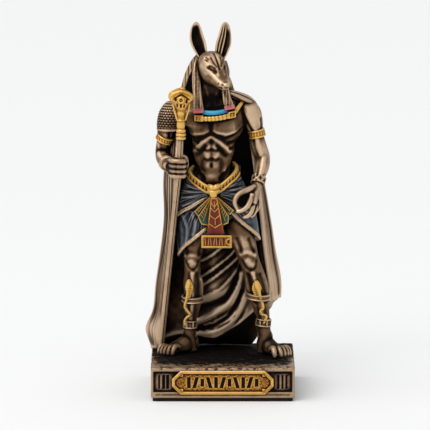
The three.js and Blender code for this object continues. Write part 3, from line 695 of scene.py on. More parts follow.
GREEN = Finish(
    "green_paint", Slot.GREEN, (0.003, 0.005, 0.004), (0.006, 0.02, 0.014), (0.01, 0.055, 0.035),
    (0.05, 0.16, 0.1), metallic=0.0,
)
RED = Finish(
    "red_paint", Slot.RED, (0.012, 0.003, 0.002), (0.07, 0.008, 0.005), (0.2, 0.015, 0.01),
    (0.4, 0.06, 0.035), metallic=0.0,
)
ROSE = Finish(
    "rose_paint", Slot.ROSE, (0.02, 0.004, 0.006), (0.12, 0.02, 0.024), (0.34, 0.05, 0.066),
    (0.55, 0.16, 0.18), metallic=0.0,
)


def placed(name: str, data: bpy.types.ID) -> bpy.types.Object:
    """A new object in the scene."""
    made = bpy.data.objects.new(name, data)
    bpy.context.scene.collection.objects.link(made)
    return made


def aimed(name: str, data: bpy.types.ID, way: Vector, axis: str = "-Z") -> bpy.types.Object:
    """A new object in the scene with one of its axes along a way."""
    made = placed(name, data)
    made.rotation_mode = "QUATERNION"
    made.rotation_quaternion = way.to_track_quat(axis, "Y")
    return made


@dataclass
class Piece:
    """One finished piece of the figurine: its surface, its paint and the solid that it stands for.

    Each spot is dark, or light where its depth is negative: x, y, z, radius and depth of tone. Most dark
    spots are painted shade and some are dark paint; the light ones are painted highlights. The whole piece is
    darker by a step of tone.
    """

    name: str
    shell: Shell
    finish: Finish
    stands_for: str = "figure"
    wash_and_painted_light: tuple = ()
    darker: float = 0.0

    def make(self, hollows: Hollows, materials: dict[str, bpy.types.Material]) -> bpy.types.Object:
        """Puts the surface into the scene in metres.

        Args:
            hollows: measures the tone at each point.
            materials: the finishes made so far, by name.

        Returns:
            The new object, riding on the figurine's body.
        """
        shell = self.shell
        mesh = bpy.data.meshes.new(self.name)
        mesh.from_pydata((shell.points * MM).tolist(), [], shell.quads.tolist() + shell.tris.tolist())
        mesh.polygons.foreach_set("use_smooth", np.ones(len(mesh.polygons), bool))
        level = hollows.tone(shell) - self.darker
        # Spots of painted shade, dark paint and painted highlight.
        for *spot, radius, depth in self.wash_and_painted_light:
            level -= depth * bell(np.linalg.norm(shell.points - spot, axis=1), radius)
        tone = mesh.attributes.new("tone", "FLOAT", "POINT")
        tone.data.foreach_set("value", level.astype(np.float32))
        if self.finish.name not in materials:
            materials[self.finish.name] = self.finish.material()
        mesh.materials.append(materials[self.finish.name])
        piece = placed(self.name, mesh)
        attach(piece, BODY)
        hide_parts(self.stands_for)
        LOG.info("%s: %d faces", self.name, len(mesh.polygons))
        return piece


# The body


@dataclass
class Trunk:
    """The chest, belly and neck."""

    middle: float = -2.75
    breast_lift: float = 1.15
    pad_lift: float = 0.22
    pad_heights: tuple = (60.3, 57.9, 55.4)
    pad_side: float = 1.08
    belly_lift: float = 0.55
    spine: tuple = (
        (-1.9, 2.0, 46.0, 6.6, 4.0, 4.2),
        (-2.0, 1.8, 50.5, 5.9, 3.6, 3.9),
        (-1.9, 1.4, 54.3, 3.9, 3.1, 3.3),
        (-2.2, 1.2, 58.0, 4.9, 3.2, 3.4),
        (-2.2, 1.2, 61.5, 5.3, 3.5, 3.7),
        (-1.9, 1.4, 65.2, 7.2, 3.7, 4.0),
        (-2.4, 1.8, 69.2, 7.6, 3.2, 3.8),
        (-2.8, 2.0, 71.6, 4.6, 2.4, 3.2),
        (-2.7, 1.7, 73.8, 2.4, 2.3, 2.6),
        (-2.6, 1.2, 78.5, 2.4, 2.3, 2.6),
    )
    chest_edge: tuple = (
        (-9.6, 65.0), (-8.4, 62.9), (-6.2, 62.6), (-4.2, 63.1), (-2.8, 64.1),
        (-1.5, 63.3), (0.3, 62.8), (2.9, 63.6), (5.0, 65.2), (6.6, 67.4),
    )
    lines: tuple = (
        Stroke(((-2.75, 69.5), (-2.8, 66.5), (-2.8, 64.4)), 0.5, -0.36),
        Stroke(
            ((-7.2, 58.8), (-5.8, 60.2), (-4.4, 61.5), (-2.8, 62.4), (-1.1, 61.5), (0.5, 60.0), (1.7, 59.0)),
            0.62, 0.42,
        ),
        Stroke(((-6.2, 58.2), (-5.2, 59.3), (-4.2, 60.3)), 0.6, -0.26),
        Stroke(((0.8, 58.0), (-0.3, 59.3), (-1.3, 60.3)), 0.6, -0.26),
        Stroke(((-2.72, 62.0), (-2.72, 58.5), (-2.72, 55.8)), 0.4, -0.1),
        Stroke(((-4.6, 59.5), (-3.8, 59.2), (-2.7, 59.5), (-1.6, 59.2), (-0.9, 59.5)), 0.4, -0.2),
        Stroke(((-4.4, 57.2), (-3.7, 56.9), (-2.7, 57.2), (-1.7, 56.9), (-1.1, 57.2)), 0.4, -0.16),
        Stroke(((-5.1, 59.0), (-5.1, 57.2), (-5.0, 55.0), (-4.7, 52.8)), 0.8, -0.15),
        Stroke(((-0.3, 59.0), (-0.3, 57.2), (-0.4, 55.0), (-0.6, 52.8)), 0.8, -0.15),
        Stroke(((-2.75, 55.7), (-2.72, 55.3)), 0.34, -0.2),
        Stroke(((2.9, 57.2), (1.9, 55.6), (0.9, 54.0), (-0.2, 52.4)), 0.65, -0.42),
        Stroke(((-7.6, 56.8), (-6.6, 55.2), (-5.5, 53.4), (-4.8, 52.2)), 0.65, -0.42),
        Stroke(((2.4, 56.6), (1.5, 55.4), (0.7, 54.2)), 0.6, 0.3),
        Stroke(((-6.9, 56.4), (-6.0, 55.0), (-5.2, 53.8)), 0.6, 0.3),
        Stroke(((3.8, 62.2), (2.7, 61.3), (1.6, 61.0)), 0.45, -0.34),
        Stroke(((3.7, 60.6), (2.6, 59.7), (1.7, 59.5)), 0.45, -0.34),
        Stroke(((-8.0, 62.2), (-6.9, 61.5), (-6.0, 61.2)), 0.45, -0.3),
        Stroke(((-7.6, 60.4), (-6.8, 59.7), (-6.2, 59.4)), 0.45, -0.3),
        Stroke(((-4.2, 74.6), (-3.6, 72.6), (-3.2, 70.9)), 0.45, 0.1),
        Stroke(((-1.0, 74.6), (-1.6, 72.6), (-2.1, 70.9)), 0.45, 0.1),
        Stroke(((-7.6, 69.9), (-5.4, 70.0), (-3.4, 70.2)), 0.5, 0.08),
        Stroke(((2.4, 70.7), (0.4, 70.4), (-1.8, 70.2)), 0.5, 0.08),
    )

    # Painted shade on the neck, under the chin and the collar, at the armpit and by the staff hand; painted
    # highlights on the throat, the chest by the shoulder and the belly.
    wash_and_painted_light: ClassVar[tuple] = (
        (-2.6, -1.4, 73.0, 2.6, 0.22), (-2.3, -1.4, 73.7, 0.9, -0.2), (-2.4, -2.0, 70.4, 2.0, 0.3),
        (-3.6, -3.0, 66.8, 3.0, 0.24), (4.6, -1.0, 65.0, 1.6, 0.15), (2.4, -2.4, 65.4, 1.8, -0.1),
        (-2.7, -2.6, 56.0, 2.6, -0.06), (-10.9, -6.5, 56.0, 3.0, 0.2), (-2.8, -2.4, 60.5, 1.6, -0.06),
    )

    def relief(self, points: Array, out: Array) -> Array:
        """The breast muscles above a drawn lower edge, the belly's pads and the cut lines, in front alone."""
        x, z = points[..., 0], points[..., 2]
        edge = np.interp(x, *np.array(self.chest_edge).T)
        fade = 1 - rise(z, 64.5, 70.5)
        swell = bell(np.abs(x - self.middle) - 3.4, 3.8)
        breast = self.breast_lift * rise(z - edge, -0.5, 0.45) * fade * swell
        pads = np.zeros_like(x)
        for height in self.pad_heights:
            for side in (-self.pad_side, self.pad_side):
                pads += self.pad_lift * bell(x - self.middle - side, 1.15) * bell(z - height, 1.05)
        low = self.belly_lift * bell(x + 2.7, 2.0) * bell(z - 53.0, 1.6)
        front = np.clip(-1.6 * out[..., 1], 0, 1)
        return front * (breast + pads + low + drawn(points, self.lines))

    def shells(self) -> list[Shell]:
        """The chest, belly and neck as one form."""
        return [limb(self.spine, 200, 160, power=2.2, relief=self.relief)]


@dataclass
class StaffArm:
    """The arm bent forward to the staff, with its fist."""

    arm: tuple = (
        (-12.2, 2.2, 68.6, 2.4, 2.4, 2.4),
        (-13.6, 2.2, 65.0, 2.2, 2.4, 2.3),
        (-14.1, 2.4, 61.6, 1.85, 2.2, 2.0),
        (-14.6, 2.5, 58.4, 1.8, 1.7, 1.9),
        (-14.4, 0.8, 56.8, 1.75, 1.9, 1.7),
        (-13.5, -1.6, 56.0, 1.45, 1.6, 1.5),
        (-12.4, -3.8, 55.7, 1.4, 1.9, 1.9),
    )
    back_of_hand: tuple = (
        (-12.9, -3.0, 55.6, 1.3, 1.9, 1.9),
        (-12.2, -4.6, 55.6, 1.2, 2.3, 2.4),
        (-11.8, -5.6, 55.5, 1.0, 2.2, 2.3),
    )
    thumb: tuple = (
        (-12.0, -4.0, 57.0, 0.8), (-10.4, -3.8, 58.0, 0.62),
        (-9.0, -4.5, 57.9, 0.52), (-8.6, -5.5, 57.1, 0.42),
    )
    thumb_tip: tuple = ((-8.75, -4.9, 57.3, 0.42), (-8.5, -5.6, 56.2, 0.36), (-9.1, -6.0, 55.2, 0.34))
    fingers: int = 4
    knuckle: float = 57.4
    spacing: float = 1.2
    finger_size: float = 0.62
    thinner: float = 0.03

    def shells(self) -> list[Shell]:
        """The arm, the back of the hand, four fingers round the shaft and the thumb."""
        made = [
            limb(self.arm, 90, 48, relief=self.sinews),
            limb(self.back_of_hand, 24, 40, front=UP, power=2.6, dome=0.8),
            rod(self.thumb),
            rod(self.thumb_tip),
        ]
        for k in range(self.fingers):
            z = self.knuckle - self.spacing * k
            size = self.finger_size - self.thinner * k
            finger = (
                (-12.6, -5.2, z, size),
                (-12.1, -6.5, z - 0.03, size * 1.05),
                (-10.7, -7.25, z - 0.08, size),
                (-9.5, -6.9, z - 0.1, size * 0.95),
                (-9.1, -5.9, z - 0.1, size * 0.85),
            )
            made.append(rod(finger, 40, 20, front=UP, relief=self.creases))
        return made

    def sinews(self, points: Array, out: Array) -> Array:
        """Long shallow muscle lines that run down the arm."""
        lines = (
            Stroke(((-15.6, 1.2, 60.6), (-15.6, 0.4, 58.2), (-14.6, -1.4, 57.0)), 0.5, 0.25),
            Stroke(((-13.0, 0.2, 63.0), (-12.9, 0.6, 60.6), (-13.2, 0.4, 58.8)), 0.55, -0.3),
            Stroke(((-12.6, 0.2, 61.2), (-12.9, -0.6, 58.6), (-12.4, -1.6, 57.4)), 0.4, 0.25),
        )
        return drawn(points, lines) + SKIN_GRAIN * grain(points, 1.4, 11)

    def creases(self, points: Array, out: Array) -> Array:
        """The joints of the fingers as slight swellings."""
        return 0.07 * bell(points[..., 1] + 7.1, 0.35) - 0.05 * bell(points[..., 0] + 11.3, 0.25)


@dataclass
class OpenArm:
    """The hanging arm and its open hand with curled fingers."""

    arm: tuple = (
        (4.6, 2.0, 69.6, 1.8, 1.9, 2.1),
        (6.4, 2.0, 68.2, 2.7, 2.7, 2.8),
        (7.4, 2.1, 65.8, 2.4, 2.8, 2.6),
        (8.1, 2.2, 62.9, 1.75, 2.2, 2.0),
        (8.7, 2.5, 60.2, 1.85, 2.1, 1.9),
        (9.8, 2.5, 57.0, 1.7, 1.8, 1.8),
        (9.5, 1.3, 54.4, 1.7, 1.8, 1.6),
        (8.5, -0.5, 51.6, 1.2, 1.3, 1.2),
        (8.2, -1.4, 50.2, 1.1, 1.2, 1.1),
    )
    palm: tuple = (
        (8.6, -0.9, 51.2, 1.1, 1.1, 1.0),
        (8.0, -2.4, 49.4, 1.4, 1.35, 1.2),
        (7.5, -3.4, 47.7, 1.7, 1.1, 1.15),
        (7.4, -3.8, 46.6, 1.6, 0.8, 0.9),
    )
    digits: tuple = (
        ((7.6, -2.6, 50.2, 0.95), (6.3, -3.9, 49.9, 0.85), (4.9, -4.9, 49.6, 0.72), (3.7, -5.5, 48.9, 0.64),
         (3.0, -5.8, 47.8, 0.6), (3.0, -5.9, 46.7, 0.54), (3.4, -6.0, 45.8, 0.44)),
        ((7.1, -4.3, 48.4, 0.72), (6.5, -5.3, 47.2, 0.66), (5.95, -5.9, 46.2, 0.62), (5.1, -6.2, 45.5, 0.54),
         (4.2, -6.3, 45.05, 0.5), (3.55, -6.2, 44.9, 0.42)),
        ((7.6, -3.7, 47.4, 0.7), (7.2, -4.6, 45.8, 0.64), (6.8, -5.1, 44.6, 0.6), (6.0, -5.35, 43.7, 0.54),
         (5.2, -5.35, 43.4, 0.44)),
        ((8.0, -3.0, 46.9, 0.64), (7.95, -3.7, 45.2, 0.58), (7.5, -4.1, 44.1, 0.54), (6.9, -4.3, 43.4, 0.42)),
        ((8.5, -2.2, 47.2, 0.58), (8.55, -2.7, 45.7, 0.52), (8.2, -3.1, 44.8, 0.48), (7.7, -3.3, 44.2, 0.38)),
    )
    hollow: tuple = (
        (4.7, -3.7, 46.0, 0.9, 0.5, 0.6), (4.7, -3.8, 47.5, 1.6, 0.6, 0.7), (4.9, -3.7, 49.0, 1.1, 0.5, 0.6),
    )
    knuckles: tuple = ((7.0, -4.4, 48.6, 0.7), (7.4, -3.8, 47.9, 0.66), (7.9, -3.1, 47.4, 0.6))

    # Painted shade in the cupped hand; painted highlights on the shoulder, the upper arm and the forearm.
    wash_and_painted_light: ClassVar[tuple] = (
        (4.5, -4.0, 47.5, 1.7, 1.6), (7.4, -0.6, 67.4, 2.8, -0.24), (9.6, 0.4, 58.6, 2.6, -0.24),
        (9.0, -1.0, 54.0, 2.2, -0.2),
    )

    def shells(self) -> list[Shell]:
        """The arm, the palm, the fill behind the curled thumb and finger, five digits and their knuckles."""
        made = [
            limb(self.arm, 110, 48, relief=self.muscle),
            limb(self.palm, 30, 32, front=(-1, 0, 0), dome=0.5),
            limb(self.hollow, 20, 28, dome=0.4),
        ]
        for digit in self.digits:
            made.append(rod(digit, 44, 18))
        made += [rod(((x, y, z, r), (x, y - 0.05, z - 0.3, r)), 6, 14) for x, y, z, r in self.knuckles]
        return made

    def muscle(self, points: Array, out: Array) -> Array:
        """The shoulder muscle, the biceps and the lines of the forearm."""
        lines = (
            Stroke(((4.9, -0.2, 67.6), (6.0, -0.4, 65.4), (7.0, -0.2, 63.8)), 0.5, -0.4),
            Stroke(((9.4, 0.6, 66.6), (9.5, 0.6, 64.6), (8.9, 0.2, 63.6)), 0.5, -0.25),
            Stroke(((7.2, 0.3, 61.4), (7.5, 0.4, 59.4), (8.2, 0.8, 57.8)), 0.5, -0.35),
            Stroke(((8.3, -0.2, 61.6), (8.7, 0.0, 59.6), (9.0, 0.4, 58.0)), 0.7, 0.3),
            Stroke(((8.4, 0.4, 57.4), (8.4, -0.4, 55.2), (8.2, -1.2, 52.8)), 0.45, -0.25),
            Stroke(((10.0, 0.6, 57.0), (9.6, -0.4, 54.6), (8.9, -1.4, 52.6)), 0.55, 0.25),
        )
        return drawn(points, lines) + SKIN_GRAIN * grain(points, 1.4, 12)


@dataclass
class Leg:
    """One leg from hip to toes.

    Each toe is the x, y of its tip and its size. The arch is how far back from the tip each point of a toe
    lies, its height over the ground and its radius.
    """

    rows: tuple
    foot: tuple
    toes: tuple
    lines: tuple

    # Painted shade on the staff thigh, behind the ankles and round the feet; a painted highlight on the free
    # thigh.
    wash_and_painted_light: ClassVar[tuple] = (
        (-7.4, -0.6, 36.0, 3.0, 0.12), (5.0, -2.8, 36.0, 3.2, -0.12), (-8.0, 4.0, 14.0, 4.0, 0.1),
        (10.2, 2.4, 13.6, 4.0, 0.1), (-11.0, 2.0, 10.0, 3.0, 0.08), (12.0, 0.4, 10.0, 3.0, 0.08),
        (-13.6, 0.0, 10.0, 3.0, 0.2), (13.6, -1.0, 10.0, 3.2, 0.12),
    )
    arch: ClassVar[tuple] = (
        (2.6, 1.7, 0.62), (1.5, 2.1, 0.56), (0.75, 1.85, 0.52), (0.2, 1.1, 0.46), (0.0, 0.35, 0.34),
    )

    def shells(self) -> list[Shell]:
        """The leg, the foot and five arched toes."""
        made = [
            limb(self.rows, 190, 56, relief=self.muscle),
            limb(self.foot, 48, 40, front=UP, power=2.4, dome=0.9, relief=self.tendons),
        ]
        heel = np.array(self.foot[0][:2])
        for x, y, size in self.toes:
            way = np.array([x, y]) - heel
            way /= np.linalg.norm(way)
            rows = []
            for back, height, radius in self.arch:
                px, py = np.array([x, y]) - way * back
                rows.append((px, py, GROUND + height, radius * size))
            made.append(rod(rows, 36, 16, front=UP))
        return made

    def muscle(self, points: Array, out: Array) -> Array:
        """The kneecap, the lines beside it and the edge of the shin."""
        return drawn(points, self.lines) + SKIN_GRAIN * grain(points, 1.6, 21)

    def tendons(self, points: Array, out: Array) -> Array:
        """Low ridges from the instep to each toe."""
        total = np.zeros(points.shape[:-1])
        heel = np.array(self.foot[1][:3])
        for x, y, _ in self.toes:
            end = (x, y, GROUND + 1.9)
            middle = tuple((heel + np.array(end)) / 2 + np.array([0, 0, 0.5]))
            total += drawn(points, (Stroke((tuple(heel + [0, 0, 1.5]), middle, end), 0.28, 0.16),))
        return total * np.clip(2 * out[..., 2], 0, 1)


STAFF_LEG = Leg(
    rows=(
        (-4.6, 2.2, 47.0, 3.6, 3.6, 3.8),
        (-5.9, 1.4, 41.0, 3.4, 3.5, 3.6),
        (-7.0, 0.9, 36.0, 2.7, 2.9, 3.0),
        (-7.4, 0.9, 32.0, 2.1, 2.3, 2.3),
        (-7.4, 1.6, 29.0, 2.0, 2.0, 2.3),
        (-7.3, 2.4, 25.4, 2.3, 2.0, 2.8),
        (-7.2, 3.3, 21.0, 1.95, 1.8, 2.2),
        (-7.7, 4.2, 16.6, 1.35, 1.4, 1.6),
        (-8.1, 4.8, 13.4, 1.35, 1.5, 1.6),
        (-8.1, 5.2, 10.8, 1.6, 1.9, 2.0),
        (-7.9, 5.3, 8.4, 1.6, 1.9, 2.0),
    ),
    foot=(
        (-7.0, 7.2, 9.4, 1.3, 1.2, 1.0),
        (-7.8, 5.6, 10.2, 1.7, 2.6, 1.8),
        (-9.4, 4.2, 10.0, 1.8, 2.3, 1.6),
        (-11.2, 2.9, 9.7, 1.9, 1.6, 1.3),
        (-12.4, 2.1, 9.4, 2.0, 1.1, 1.0),
    ),
    toes=((-12.3, -0.5, 1.3), (-13.4, -0.4, 1.05), (-14.3, 0.0, 1.0), (-15.1, 0.6, 0.95), (-15.8, 1.5, 0.9)),
    lines=(
        Stroke(((-8.9, -0.6, 33.2), (-7.4, -1.4, 33.4), (-6.2, -0.6, 33.0)), 0.6, 0.25),
        Stroke(((-7.6, -1.3, 31.9), (-7.3, -1.4, 31.3)), 1.0, 0.42),
        Stroke(((-8.8, -0.6, 31.6), (-8.2, -0.9, 30.2), (-7.3, -0.9, 29.6)), 0.4, -0.17),
        Stroke(((-6.0, -0.6, 31.8), (-6.3, -0.7, 30.4), (-7.0, -0.9, 29.7)), 0.4, -0.17),
        Stroke(((-8.8, -0.4, 35.6), (-8.5, -1.0, 34.4), (-8.6, -0.8, 33.6)), 0.56, -0.3),
        Stroke(((-5.2, -0.6, 36.6), (-5.9, -1.0, 34.8), (-5.9, -0.8, 33.6)), 0.56, -0.3),
        Stroke(((-7.4, -0.5, 28.6), (-7.5, 0.2, 25.6), (-7.4, 1.3, 21.4), (-7.8, 2.7, 17.0)), 0.5, 0.45),
        Stroke(((-6.3, 0.4, 28.6), (-6.0, 0.9, 25.6), (-6.2, 1.9, 21.6)), 0.56, -0.26),
        Stroke(((-5.3, 1.6, 27.0), (-5.1, 2.2, 24.6), (-5.5, 3.0, 21.8)), 0.7, 0.3),
        Stroke(((-9.6, 5.4, 12.6), (-9.7, 5.2, 12.2)), 0.6, 0.4),
        Stroke(((-6.7, 5.2, 12.9), (-6.6, 5.0, 12.4)), 0.6, 0.4),
    ),
)

FREE_LEG = Leg(
    rows=(
        (1.0, 2.2, 47.0, 3.6, 3.6, 3.8),
        (3.4, 1.4, 41.0, 3.5, 3.6, 3.6),
        (5.2, 0.9, 36.0, 2.9, 3.1, 3.0),
        (6.4, 0.8, 32.0, 2.45, 2.5, 2.4),
        (7.4, 1.2, 29.0, 2.5, 2.2, 2.5),
        (8.3, 1.7, 25.4, 2.75, 2.2, 3.0),
        (9.2, 2.1, 21.0, 2.2, 1.9, 2.4),
        (10.0, 2.6, 16.8, 1.55, 1.5, 1.7),
        (10.3, 2.9, 13.6, 1.5, 1.6, 1.7),
        (10.4, 3.0, 10.8, 1.8, 2.0, 2.1),
        (10.4, 3.0, 8.4, 1.8, 2.0, 2.1),
    ),
    foot=(
        (9.6, 5.4, 9.4, 1.4, 1.2, 1.0),
        (10.2, 3.8, 10.2, 1.8, 2.6, 1.8),
        (11.2, 2.4, 10.0, 1.9, 2.3, 1.6),
        (12.3, 1.0, 9.7, 2.0, 1.6, 1.3),
        (13.2, 0.0, 9.4, 2.1, 1.1, 1.0),
    ),
    toes=((12.7, -3.3, 1.35), (14.3, -2.8, 1.1), (15.2, -2.3, 1.05), (16.0, -1.6, 1.0), (16.6, -0.8, 0.9)),
    lines=(
        Stroke(((4.6, -1.2, 33.8), (6.0, -2.0, 34.2), (7.8, -1.2, 33.4)), 0.65, 0.25),
        Stroke(((6.3, -1.7, 32.0), (6.7, -1.7, 31.3)), 1.1, 0.45),
        Stroke(((4.9, -1.0, 32.2), (5.6, -1.2, 30.6), (6.6, -1.2, 29.8)), 0.45, -0.2),
        Stroke(((8.1, -0.8, 31.8), (7.9, -1.0, 30.4), (7.2, -1.2, 29.8)), 0.45, -0.2),
        Stroke(((3.6, -1.6, 37.6), (4.2, -1.8, 35.8), (4.6, -1.4, 34.4)), 0.62, -0.34),
        Stroke(((6.6, -2.0, 37.4), (7.2, -1.8, 35.8), (7.6, -1.2, 34.4)), 0.62, -0.3),
        Stroke(((7.4, -1.0, 28.8), (8.3, -0.6, 25.4), (9.2, 0.0, 21.0), (10.0, 0.9, 17.0)), 0.5, 0.45),
        Stroke(((6.2, -0.4, 28.4), (6.8, 0.0, 25.4), (8.0, 0.6, 21.6)), 0.62, -0.3),
        Stroke(((9.2, -0.4, 28.4), (10.2, 0.0, 25.4), (10.6, 0.8, 21.6)), 0.62, -0.22),
        Stroke(((8.8, 3.0, 13.0), (8.7, 2.8, 12.5)), 0.6, 0.4),
        Stroke(((11.9, 3.0, 13.0), (12.0, 2.8, 12.5)), 0.6, 0.4),
    ),
)


@dataclass
class Head:
    """The jackal's head, turned to the figure's left and a little down, with two tall ears."""

    at: tuple = (-2.6, -0.4, 79.8)
    tip: float = 21.0
    swing: float = 27.0
    power: float = 2.3
    skull: tuple = (
        (0, 3.2, 0.3, 1.6, 1.4, 1.8),
        (0, 2.2, 0.3, 2.8, 2.6, 3.0),
        (0, 0.4, 0.2, 3.15, 3.0, 3.9),
        (0, -1.3, 0.0, 3.1, 2.6, 4.1),
        (0, -2.9, -0.2, 2.75, 1.9, 3.8),
        (0, -4.4, -0.5, 2.25, 1.2, 3.1),
        (0, -6.0, -0.8, 1.85, 0.85, 2.4),
        (0, -7.5, -1.0, 1.5, 0.75, 1.75),
        (0, -8.3, -1.1, 1.15, 0.55, 1.35),
    )
    staff_ear: tuple = (
        (-4.4, 0.8, 81.2, 1.0, 0.8, 0.1),
        (-5.2, 1.2, 82.9, 1.45, 1.3, 0.9),
        (-5.9, 1.7, 84.8, 1.8, 1.4, 1.2),
        (-6.4, 2.1, 86.6, 1.7, 1.2, 1.0),
        (-6.6, 2.4, 88.4, 1.3, 0.8, 0.5),
        (-6.6, 2.5, 89.5, 0.8, 0.4, 0.2),
        (-6.6, 2.6, 90.05, 0.2, 0.1, 0.02),
    )
    free_ear: tuple = (
        (-0.9, 1.0, 81.2, 1.3, 0.9, 0.1),
        (-0.4, 1.4, 82.9, 1.7, 1.4, 1.0),
        (0.1, 1.8, 84.8, 1.95, 1.5, 1.3),
        (0.45, 2.1, 86.6, 1.7, 1.3, 1.0),
        (0.6, 2.4, 88.4, 1.3, 0.8, 0.5),
        (0.65, 2.5, 89.5, 0.85, 0.4, 0.2),
        (0.65, 2.6, 90.05, 0.2, 0.1, 0.02),
    )

    def spot(self, side: int, y: float, lift: float) -> tuple:
        """A point on the skull, from its side, its place along the head and its angle up in degrees."""
        rows = np.array(self.skull)
        middle, wide, up, down = (np.interp(-y, -rows[:, 1], rows[:, k]) for k in (2, 3, 4, 5))
        c, s = math.cos(math.radians(lift)), math.sin(math.radians(lift))
        c, s = abs(c) ** (2 / self.power), math.copysign(abs(s) ** (2 / self.power), s)
        return side * wide * c, y, middle + (up if s > 0 else down) * s

    def face(self, points: Array, out: Array) -> Array:
        """The brows, lids, cheeks, mouth, nostrils and forehead.

        Each is a line of places along the skull and angles up its side, with its width and height. Some are
        on both sides, some on the near side alone and some on the far side alone.
        """
        both = (
            (((-0.9, 70), (-2.2, 72), (-3.3, 80)), 0.22, -0.24),
            (((-8.5, -28), (-7.9, -34), (-7.4, -34)), 0.2, -0.34),
            (((-8.2, 24), (-8.5, 14)), 0.24, -0.4),
            (((-7.3, 8), (-7.1, -8)), 0.16, -0.16),
            (((-4.4, 74), (-5.4, 70)), 0.3, 0.1),
        )
        near = (
            (((-4.3, 62), (-3.8, 50), (-3.2, 38), (-2.5, 27)), 0.4, -0.36),
            (((-3.6, 66), (-3.0, 54), (-2.5, 42)), 0.24, -0.28),
            (((-3.9, 54), (-3.3, 44)), 0.13, 0.16),
            (((-4.7, 48), (-4.2, 40)), 0.18, -0.2),
            (((-0.5, 40), (-1.2, 47)), 0.17, -0.26),
            (((-0.2, 50), (-1.0, 56)), 0.17, -0.26),
            (((-4.9, 18), (-3.6, 6), (-2.4, -6)), 0.5, 0.08),
        )
        far = ((((-3.7, 58), (-3.0, 52)), 0.3, -0.26), (((-2.4, 64), (-1.4, 56)), 0.2, -0.2))
        lines = [Stroke(((0, 0.2, 3.1), (0, -2.0, 2.4), (0, -3.9, 1.2)), 0.28, -0.34)]
        for marks, sides in ((both, (-1, 1)), (near, (-1,)), (far, (1,))):
            for way, width, height in marks:
                for side in sides:
                    lines.append(Stroke(tuple(self.spot(side, y, lift) for y, lift in way), width, height))
        return drawn(points, lines) + 0.005 * grain(points, 1.4, 31)

    def shells(self) -> list[Shell]:
        """The skull and muzzle, and the nose pad."""
        parts = [limb(self.skull, 150, 130, front=UP, power=self.power, dome=0.5, relief=self.face)]
        nose = ((0, -8.3, -0.7, 0.85, 0.42, 0.5), (0, -8.85, -0.8, 0.65, 0.35, 0.45))
        parts.append(limb(nose, 10, 28, front=UP, dome=0.25))
        for part in parts:
            part.points = turned(part.points, self.tip, self.swing, self.at)
        return parts

    def wash_and_painted_light(self) -> tuple:
        """Dark paint and painted shade in the eyes, and painted highlights on the near cheek and muzzle, on
        the turned head.
        """
        # Dark spots in the eyes, nostril and temple; the light spots on the near side, the crown and the top
        # of the muzzle are painted highlights.
        marks = (
            (-1, -3.4, 46, 0.9, 0.2), (1, -3.3, 54, 0.5, 0.1), (-1, -8.3, -20, 0.5, 0.25),
            (-1, -1.6, 4, 1.5, -0.16), (-1, -3.4, -12, 1.7, -0.16), (-1, -5.4, -14, 1.5, -0.14),
            (0, -1.0, 84, 1.4, -0.16), (0, -5.4, 90, 1.3, -0.08), (-1, 0.0, 0, 1.6, -0.2),
            (-1, -1.2, -40, 1.6, -0.14), (-1, -1.0, 52, 0.6, 0.14),
        )
        spots = []
        for side, y, lift, radius, depth in marks:
            place = turned(np.array([self.spot(side, y, lift)]), self.tip, self.swing, self.at)[0]
            spots.append((*place, radius, depth))
        return tuple(spots)

    def ear(self, rows: tuple, facing: Sequence[float], hollow: tuple, folds: tuple) -> Shell:
        """One tall ear: a leaf across the path, bowed out behind and hollow in front.

        Args:
            rows: x, y, z, half width, the back's depth and the hollow's depth.
            facing: the way that the hollow looks.
            hollow: the hollow's middle and half width across the ear, and how far up it goes.
            folds: where across the ear its inner folds run.

        Returns:
            The closed surface.
        """
        t = np.linspace(0, 1, 84)
        path = trace(rows, t)
        up = unit(path[-1, :3] - path[0, :3])
        look = unit(np.asarray(facing, float) - up * (up @ np.asarray(facing, float)))
        across = np.cross(look, up)
        u = np.linspace(1, -1, 49)
        middle, half, top = hollow
        length = between(t, (0.03, 0.16), (top - 0.22, top))
        inside = np.clip(1 - np.abs((u - middle) / half) ** 3, 0, 1) * length[:, None]
        ridge = sum(0.26 * bell(u - fold, 0.1) for fold in folds)
        ridge = ridge * between(t, (0.0, 0.2), (0.6, 0.95))[:, None]
        inner = 0.3 - path[:, 5, None] * (1.1 * inside + 0.2 * (1 - u**2)) + ridge
        outer = -0.12 - path[:, 4, None] * (1 - u**2)
        inner = np.maximum(inner, outer + 0.3 * (1 - u**6))
        depth = np.concatenate([inner + 0.12 * bell(np.abs(u) - 0.92, 0.1), outer[:, ::-1]], axis=1)
        place = np.concatenate([u, u[::-1]])
        grid = path[:, None, :3] + across * (path[:, 3, None] * place)[..., None] + look * depth[..., None]
        # The hollow of the ear is darkened as painted shade, with faint lines across it.
        tone = -0.62 * inside + 0.05 * np.sin(23 * u) * inside
        return closed(grid, np.concatenate([tone, np.zeros((len(t), len(u)))], axis=1), bridged=True)


# What the figure wears


